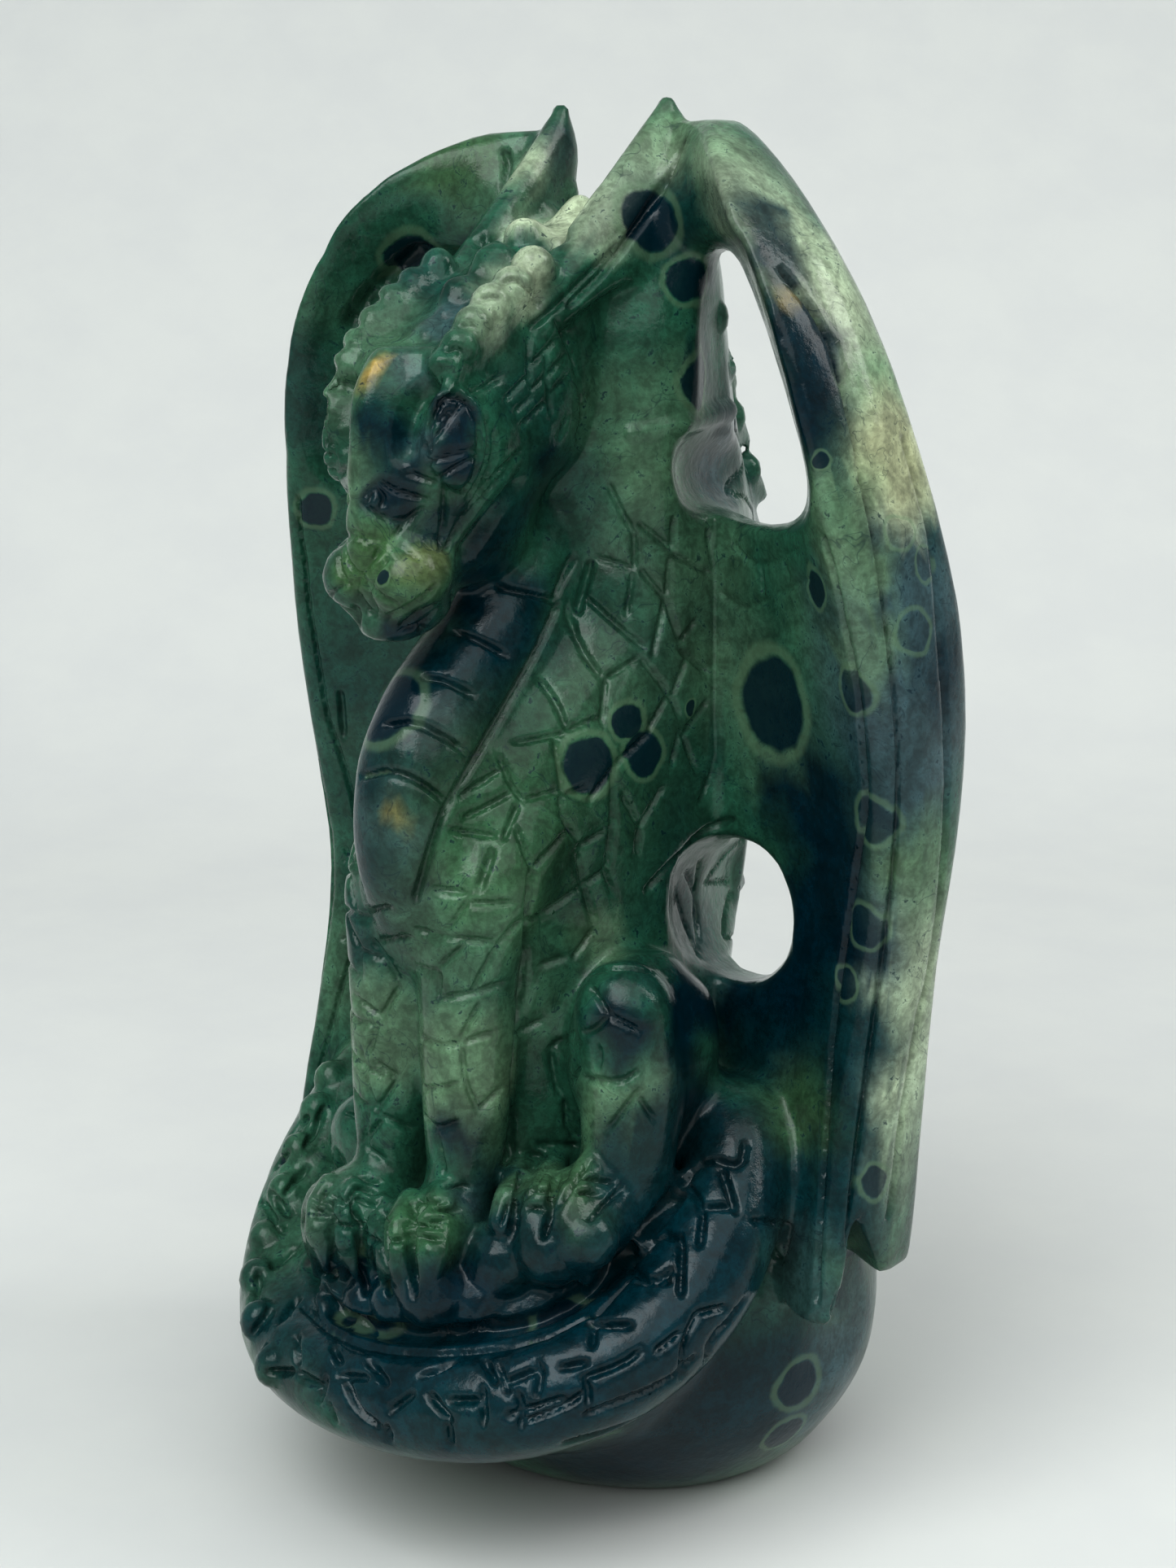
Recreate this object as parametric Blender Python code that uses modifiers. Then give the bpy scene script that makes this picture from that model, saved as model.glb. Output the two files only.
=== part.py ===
"""A jasper carving of a seated winged dragon, cut from one stone.

The figure stands on the flat of its boulder at the origin, +Z up, its face towards -Y, its left side at +X.
Its height is the one free size. Pose, forms and depths of cut are shares of that height: one step of the
carver's grid, `STEP`, is a 165th part of it, and every position below is counted in such steps.
"""
import math

import bmesh
import bpy
import numpy as np
from mathutils import Matrix, Vector

HEIGHT = 0.165            # ground to horn tips
STEP = HEIGHT / 165.0     # the grid that the figure is laid out on

# Sizes of the separate forms, in steps
COLUMN_R = 7.0            # the scaled column down the throat and chest
FORELEG_AT = 5.7          # sideways place of a foreleg
FORELEG_R = 5.6
ANKLE_R = 4.3
BROW_AT = 7.2             # sideways place of the brow ridges
BROW_BUMP_R = 2.1
CREST_BUMP_R = 2.3
MUZZLE_AT = 3.8
NOSTRIL_R = 1.05
TOE_R = 2.3
TAIL_PLATE_R = 3.2
SPIKE_TOP = 146.0         # the first and last tooth of the crest down the back, and the space between two
SPIKE_END = 54.0
SPIKE_STEP = 7.4
SPIKE_R = 4.4
SPIKE_LENGTH = 7.5
GRAIN = 0.72              # size of the cells that the forms are merged with
SOFTEN = 5                # passes of smoothing after merging
FACES = 9600              # triangles of the finished solid

bpy.context.preferences.edit.use_global_undo = False
for stale in list(bpy.data.objects):
    bpy.data.objects.remove(stale, do_unlink=True)
for stale in list(bpy.data.collections):
    bpy.data.collections.remove(stale)
CARVING = bpy.data.collections.new("dragon_carving")
CUTTERS = bpy.data.collections.new("cutters")
for made in (CARVING, CUTTERS):
    bpy.context.scene.collection.children.link(made)
FORMS = []


def keep(mesh, name, group=CARVING):
    """A mesh as an object; a form of the figure is also put on the list that is merged later."""
    obj = bpy.data.objects.new(name, mesh)
    group.objects.link(obj)
    if group is CARVING:
        FORMS.append(obj)
    else:
        obj.hide_render = True
        obj.display_type = "WIRE"
    return obj


def mesh_of(shape, name):
    bmesh.ops.recalc_face_normals(shape, faces=shape.faces)
    mesh = bpy.data.meshes.new(name)
    shape.to_mesh(mesh)
    shape.free()
    return mesh


def turn(degrees_xyz):
    rx, ry, rz = (math.radians(d) for d in degrees_xyz)
    return (Matrix.Rotation(rz, 4, "Z") @ Matrix.Rotation(ry, 4, "Y") @ Matrix.Rotation(rx, 4, "X"))


def placed(centre, radii, degrees_xyz):
    return (Matrix.Translation(Vector(centre) * STEP) @ turn(degrees_xyz)
            @ Matrix.Diagonal((*(r * STEP for r in radii), 1.0)))


def ball(name, centre, radii, degrees_xyz=(0, 0, 0), group=CARVING):
    shape = bmesh.new()
    bmesh.ops.create_uvsphere(shape, u_segments=28, v_segments=18, radius=1.0,
                              matrix=placed(centre, radii, degrees_xyz))
    return keep(mesh_of(shape, name), name, group)


def cone(name, centre, radius, tip_radius, length, degrees_xyz, flat=1.0, group=CARVING):
    """A cone from its base at `centre` out along its own +Z; `flat` thins it along its own X."""
    shape = bmesh.new()
    spot = (Matrix.Translation(Vector(centre) * STEP) @ turn(degrees_xyz)
            @ Matrix.Diagonal((flat * STEP, STEP, STEP, 1.0)) @ Matrix.Translation((0, 0, length / 2)))
    bmesh.ops.create_cone(shape, cap_ends=True, segments=20, radius1=radius, radius2=tip_radius,
                          depth=length, matrix=spot)
    return keep(mesh_of(shape, name), name, group)


def loft(name, rings, group=CARVING):
    """Skin over closed rings of equal length, with a cap at each end."""
    shape = bmesh.new()
    rows = [[shape.verts.new(Vector(p) * STEP) for p in ring] for ring in rings]
    for low, high in zip(rows[:-1], rows[1:]):
        for i in range(len(low)):
            j = (i + 1) % len(low)
            shape.faces.new((low[i], low[j], high[j], high[i]))
    shape.faces.new(rows[0][::-1])
    shape.faces.new(rows[-1])
    return keep(mesh_of(shape, name), name, group)


def curve_rows(rows, count):
    """Smooth in-between rows of a table whose first column rises or falls steadily."""
    table = np.array(rows, float)
    along = np.concatenate([[0], np.cumsum(np.abs(np.diff(table[:, 0])) + 1e-6)])
    slope = np.gradient(table, along, axis=0)
    out = []
    for s in np.linspace(0, along[-1], count):
        k = min(int(np.searchsorted(along, s, side="right")) - 1, len(along) - 2)
        span = along[k + 1] - along[k]
        t = (s - along[k]) / span
        h = (2 * t**3 - 3 * t**2 + 1, t**3 - 2 * t**2 + t, 3 * t**2 - 2 * t**3, t**3 - t**2)
        out.append(h[0] * table[k] + h[1] * span * slope[k] + h[2] * table[k + 1] + h[3] * span * slope[k + 1])
    return out


def path_rows(points, count):
    """Smooth in-between rows along a path in space; each row is x, y, z and then any other sizes."""
    table = np.array(points, float)
    along = np.concatenate([[0], np.cumsum(np.linalg.norm(np.diff(table[:, :3], axis=0), axis=1))])
    joined = np.column_stack([along, table])
    return [row[1:] for row in curve_rows(joined, count)]


def oval(z, half, front, middle, back, front_power, back_power, count=56, x=0.0):
    """A level ring, `half` wide at `middle`, whose front and back ends have their own fullness."""
    ring = []
    for i in range(count):
        a = 2 * math.pi * i / count
        s, c = math.sin(a), math.cos(a)
        power = back_power if c > 0 else front_power
        reach = (back - middle) if c > 0 else (middle - front)
        ring.append((x + half * math.copysign(abs(s) ** (2 / power), s),
                     middle + reach * math.copysign(abs(c) ** (2 / power), c), z))
    return ring


def tube(name, points, count=40, tall=1.0, sides=24, group=CARVING):
    """A round limb along a path of x, y, z, radius; `tall` stretches its section away from its first side."""
    rows = path_rows(points, count)
    side, rings = Vector((1, 0, 0)), []
    for i, row in enumerate(rows):
        before, after = rows[max(i - 1, 0)], rows[min(i + 1, len(rows) - 1)]
        ahead = Vector(after[:3] - before[:3]).normalized()
        if i == 0:
            level = ahead.cross(Vector((0, 0, 1)))
            side = level if level.length > 0.5 else Vector((1, 0, 0))
        side = (side - ahead * side.dot(ahead)).normalized()
        over = side.cross(ahead)
        centre = Vector(row[:3])
        rings.append([centre + side * (row[3] * math.cos(2 * math.pi * k / sides))
                      + over * (row[3] * tall * math.sin(2 * math.pi * k / sides)) for k in range(sides)])
    return loft(name, rings, group)


# The body: half width, front, widest place, back, and fullness in front and behind, level by level
BODY = [(22, 18, -24, 2, 23, 2.2, 1.7), (40, 17.5, -26, 3, 24, 2.2, 1.4), (55, 17, -27, 3, 26, 2.1, 1.25),
        (70, 16.5, -30, 3, 32, 2.0, 1.2), (80, 16.5, -33, 3, 34, 2.0, 1.2), (86, 16.5, -32.5, 3, 35, 2.0, 1.2),
        (92, 16.5, -29, 3, 35, 2.0, 1.2), (98, 16.5, -22, 3, 35, 2.0, 1.2), (104, 16.5, -14.5, 3, 35, 2.1, 1.2),
        (112, 16.5, -11, 3, 34, 2.2, 1.2), (122, 16.5, -11, 3, 30, 2.3, 1.2), (132, 16.5, -10, 3, 26, 2.3, 1.2),
        (142, 16.0, -8, 3, 24, 2.2, 1.2), (148, 14.5, -4, 3, 20, 2.0, 1.4), (151.5, 12.0, 0, 4, 14, 2.0, 1.8)]
# The line through the tips of the teeth down the back: height and how far back
CREST = ((54, 29.2), (59, 31.0), (64, 33.8), (70, 36.4), (85, 38.0), (104, 38.5), (117, 37.4), (125, 32.9),
         (133, 29.8), (138, 28.7), (146, 26.5))
# The saddle between a horn and the top of a wing: sideways place, front, back, under and upper side
SADDLE = [(7.0, -2.0, 8.0, 144.0, 153.0), (9.5, -1.5, 7.6, 144.0, 157.6), (12.5, -1.5, 7.0, 145.5, 158.6),
          (16.0, -2.0, 6.8, 146.4, 160.2), (19.0, -3.6, 6.4, 147.0, 160.6), (22.0, -5.0, 5.6, 149.0, 158.4)]


def build_body():
    loft("body", [oval(*row[:1], *row[1:]) for row in curve_rows(BODY, 60)])
    column = [(0, -6, 121, 0.93), (0, -10.5, 113, 0.97), (0, -14.6, 106.6, 1), (0, -20.2, 101.3, 1),
              (0, -26.1, 95.8, 1), (0, -29.3, 90.9, 1), (0, -30.4, 85.6, 1), (0, -29.8, 80, 1),
              (0, -27.6, 74, 0.97), (0, -24, 67.8, 0.89), (0, -20, 60, 0.71)]
    tube("chest_column", [(x, y, z, r * COLUMN_R) for x, y, z, r in column], count=44)
    for side, word in ((1, "left"), (-1, "right")):
        rings = []
        for x, front, back, low, high in curve_rows(SADDLE, 14):
            rings.append([(side * x, (front + back) / 2 + (back - front) / 2 * math.cos(2 * math.pi * k / 24),
                           (low + high) / 2 + (high - low) / 2 * math.sin(2 * math.pi * k / 24))
                          for k in range(24)])
        loft(f"saddle_{word}", rings)
    heights, backs = zip(*CREST)
    for i in range(int((SPIKE_TOP - SPIKE_END) / SPIKE_STEP) + 1):
        z = SPIKE_TOP - i * SPIKE_STEP
        tip = float(np.interp(z, heights, backs))
        droop = math.radians(22)
        foot = (0, tip - SPIKE_LENGTH * math.cos(droop), z + SPIKE_LENGTH * math.sin(droop))
        cone(f"spike_{i}", foot, SPIKE_R, 0.5, SPIKE_LENGTH, (-112, 0, 0), flat=0.5)


# Wing sections, level by level: leading edge, groove behind the first strip, and outer rear corner (x, y)
WING = [(161.6, 17.6, 1.2, 18.0, 2.6, 18.2, 4.6), (160, 20.0, -3.0, 20.6, 0.6, 20.4, 5.0),
        (157, 24.0, -8.0, 24.6, -2.4, 24.2, 4.2), (153, 27.9, -11.2, 29.0, -4.0, 28.6, 3.0),
        (148, 31.3, -13.4, 33.6, -4.8, 33.2, 2.0), (141, 35.6, -13.8, 38.2, -5.2, 37.9, 1.9),
        (133, 38.8, -12.9, 41.4, -5.8, 41.4, 2.8), (121, 41.8, -10.6, 44.2, -5.0, 44.8, 5.0),
        (109, 44.1, -7.8, 46.2, -3.8, 46.8, 7.8), (97, 45.4, -5.2, 47.2, -3.2, 47.5, 9.2),
        (84, 45.2, -3.2, 47.0, -1.4, 47.4, 8.4), (68, 43.3, -2.2, 45.3, -0.8, 45.9, 7.2),
        (50, 42.8, -5.9, 44.9, -3.6, 44.9, 6.8), (40, 43.2, -8.4, 44.6, -5.8, 44.5, 6.4),
        (34, 43.2, -9.7, 44.4, -7.4, 44.2, 6.3), (29.2, 42.6, -10.8, 43.8, -9.0, 43.8, 6.2)]
WING_ROOT = (13.0, 4.5)
WING_BACK_ROOT = (9.0, 15.0)


def wing_ring(row, side):
    z, ax, ay, gx, gy, cx, cy = row
    root = np.array(WING_ROOT)
    if z > 146:
        root = root + np.array((-3.0, -1.5)) * min((z - 146) / 10, 1)
    edge, groove, corner = np.array((ax, ay)), np.array((gx, gy)), np.array((cx, cy))
    thick = np.interp(z, [26, 60, 100, 120, 134, 146, 162], [8, 9, 9, 6.5, 4, 3.5, 3])
    rim = corner + np.array((-3.2, 3.4)) * np.interp(z, [26, 120, 150, 162], [0.9, 1, 0.8, 0.3])
    back_root = np.array((min(WING_BACK_ROOT[0], root[0]), root[1] + thick))
    hollow = np.interp(z, [26, 60, 110, 150, 162], [0.5, 1.0, 1.4, 0.8, 0])
    inner = edge + np.array((-2.4, -0.1)) * np.interp(z, [125, 145], [1.0, 0.2])
    ring = [root]
    for t in (0.25, 0.5, 0.75, 0.93):
        ring.append(root + (inner - root) * t + np.array((0.25, 1)) * hollow * math.sin(math.pi * min(t, 0.9)))
    lip = edge + (groove - edge) * 0.8 + np.array((0.2, -0.1))
    ring += [inner, edge, lip, groove + np.array((-1.0, 0.2)) * np.interp(z, [29, 44, 146, 152], [0, 1, 1, 0])]
    for t in (0.16, 0.6):
        ring.append(groove + (corner - groove) * t + np.array((0.5, 0)))
    ring += [corner, rim]
    for t in (0.3, 0.65, 1.0):
        ring.append(rim + (back_root - rim) * t)
    return [(side * p[0], p[1], z) for p in ring]


def build_wings():
    for side, word in ((1, "left"), (-1, "right")):
        loft(f"wing_{word}", [wing_ring(row, side) for row in curve_rows(WING, 56)])


# Head: level rings for the face, and side by side ellipsoids for cheeks, muzzle and jaw
SKULL = [(-30.0, 126, 136.4, 7.6), (-24.0, 123, 141.2, 8.6), (-16.0, 121, 146.0, 9.0), (-8.0, 121, 149.6, 9.0),
         (0.0, 125, 151.6, 8.5), (6.0, 132, 150.0, 7.0)]
FACE = [(137.0, 7.4, -33.0, -22, -12, 2.6, 2.6), (133.0, 8.0, -35.0, -22, -12, 2.6, 2.6),
        (128.0, 8.3, -36.4, -22, -12, 2.4, 2.4), (122.0, 8.2, -37.4, -22, -12, 2.2, 2.4),
        (118.0, 7.4, -36.6, -22, -14, 2.2, 2.2), (115.0, 6.4, -34.5, -24, -18, 2.2, 2.0)]


def build_head():
    rings = []
    for y, low, high, half in curve_rows(SKULL, 22):
        ring = []
        for k in range(36):
            a = 2 * math.pi * k / 36
            s, c = math.sin(a), math.cos(a)
            ring.append((half * math.copysign(abs(s) ** 0.75, s), y,
                         (high + low) / 2 + (high - low) / 2 * math.copysign(abs(c) ** 0.85, c)))
        rings.append(ring)
    loft("skull", rings)
    loft("face", [oval(*row) for row in curve_rows(FACE, 20)])
    tube("bridge", [(0, -32.5, 136.5, 2.2), (0, -35.6, 132, 2.4), (0, -36.4, 126, 2.3),
                    (0, -36.6, 120, 2.6), (0, -36.2, 116, 2.8), (0, -35.2, 112.5, 2.6)], count=18)
    for side, word in ((1, "left"), (-1, "right")):
        ball(f"cheek_{word}", (side * 6.6, -27.5, 126.5), (3.6, 7.6, 8.2), (-20, 0, 0))
        ball(f"jaw_plate_{word}", (side * 6.2, -17.5, 131.0), (4.0, 10.5, 9.0), (38, 0, 0))
        ball(f"muzzle_{word}", (side * MUZZLE_AT, -34.0, 112.7), (4.3, 5.2, 4.1), (18, 0, side * -8))
        ball(f"brow_ridge_{word}", (side * BROW_AT, -25.6, 139.6), (2.0, 10.8, 3.0), (37, 0, 0))
        for i in range(5):
            t = i / 4
            ball(f"brow_bump_{word}_{i}",
                 (side * (BROW_AT + 0.4 + 0.6 * t), -18.0 - 15.6 * t, 145.4 - 8.4 * t - 4.4 * t * t),
                 (BROW_BUMP_R * 0.8, BROW_BUMP_R, BROW_BUMP_R * 0.8), (40, 0, 0))
        loft(f"horn_{word}", [horn_ring(row, side) for row in curve_rows(HORN, 24)])
    ball("jaw", (0, -31.2, 108.9), (5.6, 6.2, 3.0), (24, 0, 0))
    ball("throat", (0, -22, 116.5), (6.6, 10.5, 6.0), (10, 0, 0))
    for i, (y, z) in enumerate(((-2.6, 152.6), (-11.7, 149.8), (-18.0, 146.8), (-23.2, 143.2), (-28.0, 138.6),
                                (-32.4, 133.9))):
        ball(f"crest_bump_{i}", (0, y + 0.8, z - 0.9), (1.9, CREST_BUMP_R * 1.2, CREST_BUMP_R), (35, 0, 0))


# A horn: height, front edge (x, y) and rear edge (x, y, z) of each section, and half its thickness
HORN = [(141.0, 7.0, -20.0, 9.0, -18.0, 138.0, 2.2), (147.0, 7.2, -14.0, 9.8, -9.0, 142.5, 2.6),
        (152.5, 7.3, -8.3, 10.2, 1.0, 146.5, 2.8), (157.3, 7.5, -3.1, 9.8, 6.8, 151.5, 2.6),
        (161.0, 7.7, 0.6, 8.8, 8.0, 157.0, 2.1), (164.0, 7.9, 3.4, 8.2, 6.8, 162.4, 1.2),
        (165.2, 8.0, 4.6, 8.1, 5.4, 164.8, 0.5)]


def horn_ring(row, side):
    z, fx, fy, bx, by, bz, half = row
    front, rear = Vector((fx, fy, z)), Vector((bx, by, bz))
    middle, along = (front + rear) / 2, (rear - front) / 2
    across = Vector((1, 0.15, 0)) * half
    ring = []
    for k in range(20):
        a = 2 * math.pi * k / 20
        s, c = math.sin(a), math.cos(a)
        p = middle + along * math.copysign(abs(c) ** 0.8, c) + across * math.copysign(abs(s) ** 0.8, s)
        ring.append((side * p.x, p.y, p.z))
    return ring


# A hind knee: how far out and how far forward it sits. The right leg is drawn up closer to the body.
HIND = {"left": (21.0, -18.8), "right": (17.0, -13.2)}


def build_legs():
    for side, word in ((1, "left"), (-1, "right")):
        at = side * FORELEG_AT
        tube(f"foreleg_{word}",
             [(side * 6.0, -8.0, 92, 3.0), (side * 7.4, -19.0, 84, 6.4), (side * 6.6, -26.4, 76, 6.4),
              (at, -28.0, 68, FORELEG_R),
              (at, -28.0, 58, FORELEG_R), (at, -28.6, 50, FORELEG_R * 0.9), (at, -29.0, 45, ANKLE_R),
              (at, -29.5, 39, ANKLE_R)], count=30)
        ball(f"paw_{word}", (at * 1.05, -33.0, 39.0), (5.6, 7.0, 4.6), (-8, 0, 0))
        for i in range(3):
            x = at * 1.05 + (i - 1) * 3.5
            y = -38.3 + 1.2 * abs(i - 1)
            tube(f"toe_{word}_{i}", [(x * 0.97, y + 3.5, 40.6, TOE_R), (x, y, 39.2, TOE_R * 1.05),
                                     (x, y - 1.4, 35.8, TOE_R * 0.8), (x, y - 1.2, 31.0, 0.7)], count=12)
        out, back = HIND[word]
        ball(f"thigh_{word}", (side * (out - 2.4), back + 6.8, 57.5), (7.4, 11.0, 11.8), (8, 0, 0))
        ball(f"knee_{word}", (side * out, back, 63.6), (6.0, 5.6, 6.6))
        tube(f"shin_{word}", [(side * (out - 0.4), back + 6.0, 66, 3.0), (side * (out + 0.2), back + 1.2, 62, 5.6),
                              (side * (out + 0.6), back + 1.0, 54, 6.0), (side * (out + 0.4), back + 0.2, 46, 5.4),
                              (side * out, back, 38, 5.0)], count=24)
        ball(f"haunch_{word}", (side * (out - 3.0), back + 13.4, 46.0), (7.4, 8.4, 10.0))
        ball(f"foot_{word}", (side * (out - 1.0), back - 5.7, 41.5), (6.8, 8.0, 5.4), (-10, 0, side * 8))
        for i in range(3):
            x = side * (out - 5.6 + 4.3 * i)
            y = back - 12.2 + 1.6 * i
            tube(f"hind_toe_{word}_{i}", [(x, y + 5.0, 43.2, TOE_R), (x, y, 42.4, TOE_R * 1.1),
                                          (x, y - 1.4, 38.6, TOE_R * 0.8), (x, y - 0.8, 34.6, 0.8)], count=12)


TAIL = [(21.0, 1.0, 45.0, 4.6), (26.2, -3.6, 47.0, 6.0), (29.4, -9.0, 42.0, 6.3), (31.0, -17.5, 34.5, 6.6),
        (28.5, -27.5, 28.0, 6.5), (21.5, -35.5, 23.8, 6.3), (9.5, -40.0, 21.0, 6.1), (-4.0, -40.2, 20.0, 6.0),
        (-15.5, -36.4, 20.2, 6.0), (-24.0, -29.0, 22.4, 6.2), (-29.2, -20.0, 29.0, 6.5), (-31.8, -11.0, 37.0, 5.9),
        (-33.2, -3.4, 44.0, 4.2), (-33.4, 2.5, 49.0, 1.6)]

BOULDER = [(0.0, 24.0, -15.0, 5, 25, 2.0, 2.0), (2.0, 27.0, -18.5, 5, 28, 2.0, 2.0),
           (7.0, 31.5, -23.5, 4, 31, 2.0, 2.0), (13.0, 35.0, -28.0, 4, 33, 2.0, 2.0),
           (20.0, 36.4, -31.0, 4, 34, 2.0, 2.0), (27.0, 36.0, -31.0, 4, 33.5, 2.0, 2.0),
           (34.0, 34.0, -28.0, 4, 31, 2.0, 2.0), (41.0, 28.0, -22.0, 4, 27, 2.0, 2.0),
           (46.0, 20.0, -14.0, 4, 20, 2.0, 2.0)]


def build_base():
    loft("boulder", [oval(*row) for row in curve_rows(BOULDER, 30)])
    ball("mound", (4.0, -15.5, 26.0), (27.5, 24.0, 15.5))
    ball("keel", (0.0, -17.0, 22.0), (29.0, 23.0, 15.5), (-8, 0, 0))
    tube("tail", TAIL, count=90, tall=1.05)
    rows = path_rows(TAIL, 34)
    for i, row in enumerate(rows[4:-2]):
        before, after = rows[i + 3], rows[i + 5]
        ahead = Vector(after[:3] - before[:3]).normalized()
        out = Vector((row[0], row[1] + 12.0, 0)).normalized()
        lift = np.interp(i, [0, 12, 18, 28], [70, 60, 35, 35])
        aim = out * math.cos(math.radians(lift)) + Vector((0, 0, math.sin(math.radians(lift))))
        spot = Vector(row[:3]) + aim * (row[3] * 0.86)
        size = TAIL_PLATE_R * min(1.0, row[3] / 5)
        ball(f"plate_{i}", spot, (size * 0.62, size * 0.8, size * 0.62),
             (0, 0, math.degrees(math.atan2(ahead.y, ahead.x)) - 90))


# The teardrop openings through a wing, from in front of it to behind it: depth, the straight inner side, the
# outer side at the foot and at the head, the foot and the head. Each draws inwards towards the back.
UPPER_HOLE = [(-15.0, 27.6, 45.0, 33.5, 116.8, 150.0), (2.0, 15.0, 33.0, 20.5, 117.0, 147.6),
              (9.0, 12.4, 28.4, 16.6, 116.2, 147.6), (20.0, 12.0, 27.8, 16.0, 116.2, 147.6)]
UPPER_SCOOP = [(-9.0, 20.1, 26.1, 26.1, 118.1, 128.7), (0.0, 12.6, 22.1, 22.1, 117.7, 127.7),
               (10.1, 9.6, 20.1, 20.1, 117.3, 126.7), (25.0, 6.1, 17.1, 17.1, 117.5, 125.7)]
LOWER_HOLE = [(-9.0, 19.4, 38.4, 37.6, 64.2, 84.4), (1.0, 12.0, 30.4, 30.0, 62.6, 80.6),
              (10.0, 10.2, 24.3, 23.9, 60.8, 78.2), (24.0, 4.5, 23.9, 23.5, 60.0, 77.4)]
# The notch between the first strip of a wing and the shorter strip behind it, in profile: y, z
TIP_NOTCH = ((-6.0, 42.6), (-7.7, 35.0), (-9.4, 29.6), (-9.4, 18.0), (20.0, 18.0), (20.0, 31.8), (-0.7, 32.6))


def opening_ring(row, side, fullness, points=24):
    """A rounded outline whose outer side leans from the wide foot in to the narrower head."""
    y, inner, foot_out, head_out, low, high = row
    ring = []
    for k in range(points):
        a = 2 * math.pi * k / points
        s, c = math.sin(a), math.cos(a)
        rise = (1 - math.copysign(abs(c) ** fullness, c)) / 2
        outer = foot_out + (head_out - foot_out) * rise
        x = (inner + outer) / 2 + (outer - inner) / 2 * math.copysign(abs(s) ** fullness, s)
        ring.append((side * x, y, low + (high - low) * rise))
    return ring


def build_cutters():
    for side, word in ((1, "left"), (-1, "right")):
        for name, levels, fullness in (("upper_hole", UPPER_HOLE, 0.6), ("upper_scoop", UPPER_SCOOP, 1.0),
                                       ("lower_hole", LOWER_HOLE, 0.9)):
            loft(f"{name}_{word}", [opening_ring(row, side, fullness) for row in levels], CUTTERS)
        loft(f"tip_notch_{word}", [[(side * x, y + (44.5 - x) * 0.55, z) for y, z in TIP_NOTCH]
                                   for x in (35.5, 54.0)], CUTTERS)
        ball(f"nostril_pit_{word}", (side * 4.6, -39.4, 113.4), (NOSTRIL_R, 1.6, NOSTRIL_R), group=CUTTERS)
        ball(f"eye_pit_{word}", (side * 9.6, -36.6, 121.6), (2.2, 3.4, 1.6), (20, 0, side * 40), group=CUTTERS)


def cut_from(obj, cutter):
    step = obj.modifiers.new(cutter.name, "BOOLEAN")
    step.operation = "DIFFERENCE"
    step.solver = "EXACT"
    step.object = cutter


def settle(obj):
    """The object's evaluated shape becomes its own mesh, with no modifiers left."""
    graph = bpy.context.evaluated_depsgraph_get()
    mesh = bpy.data.meshes.new_from_object(obj.evaluated_get(graph))
    obj.modifiers.clear()
    obj.data = mesh
    return obj


def join_forms():
    merged = bmesh.new()
    for form in FORMS:
        merged.from_mesh(form.data)
    mesh = mesh_of(merged, "dragon_carving")
    for form in list(FORMS):
        bpy.data.objects.remove(form, do_unlink=True)
    obj = bpy.data.objects.new("dragon_carving", mesh)
    CARVING.objects.link(obj)
    return obj


def shape_stone(obj):
    merge = obj.modifiers.new("merge", "REMESH")
    merge.mode = "VOXEL"
    merge.voxel_size = GRAIN * STEP
    merge.adaptivity = 0.0
    settle(obj)
    for cutter in list(CUTTERS.objects):
        cut_from(obj, cutter)
    settle(obj)
    again = obj.modifiers.new("even", "REMESH")
    again.mode = "VOXEL"
    again.voxel_size = GRAIN * STEP
    polish = obj.modifiers.new("polish", "SMOOTH")
    polish.factor = 0.5
    polish.iterations = SOFTEN
    settle(obj)
    thin = obj.modifiers.new("thin", "DECIMATE")
    thin.ratio = FACES / (2.0 * len(obj.data.polygons))
    settle(obj)
    sole = bmesh.new()
    sole.from_mesh(obj.data)
    level = 0.55 * STEP
    bmesh.ops.bisect_plane(sole, geom=sole.verts[:] + sole.edges[:] + sole.faces[:], dist=1e-7,
                           plane_co=(0, 0, level), plane_no=(0, 0, -1), clear_outer=True)
    bmesh.ops.holes_fill(sole, edges=[e for e in sole.edges if e.is_boundary])
    bmesh.ops.triangulate(sole, faces=sole.faces[:])
    bmesh.ops.translate(sole, verts=sole.verts[:], vec=(0, 0, -level))
    top = max(v.co.z for v in sole.verts)
    bmesh.ops.scale(sole, verts=sole.verts[:], vec=(1, 1, HEIGHT / top))
    sole.to_mesh(obj.data)
    sole.free()
    for polygon in obj.data.polygons:
        polygon.use_smooth = False
    return obj


def stone_material():
    stone = bpy.data.materials.new("green_jasper")
    stone.use_nodes = True
    shader = stone.node_tree.nodes["Principled BSDF"]
    shader.inputs["Base Color"].default_value = (0.045, 0.11, 0.062, 1)
    shader.inputs["Roughness"].default_value = 0.22
    shader.inputs["Metallic"].default_value = 0.0
    return stone


build_body()
build_wings()
build_head()
build_legs()
build_base()
build_cutters()
carving = shape_stone(join_forms())
carving.data.materials.clear()
carving.data.materials.append(stone_material())
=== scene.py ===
# %% [markdown]
# A seated dragon cut from one block of kambaba jasper, about 165 mm high. The maker sawed a block to
# shape, roughed out the body, wings and tail with diamond wheels, cut the scales one short wheel stroke
# at a time and polished the whole stone. The model goes the same way: one body, then cuts, then the stone
# itself.

import math

import bpy
import numpy as np
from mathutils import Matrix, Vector
from mathutils.bvhtree import BVHTree
from mathutils.kdtree import KDTree


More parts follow.
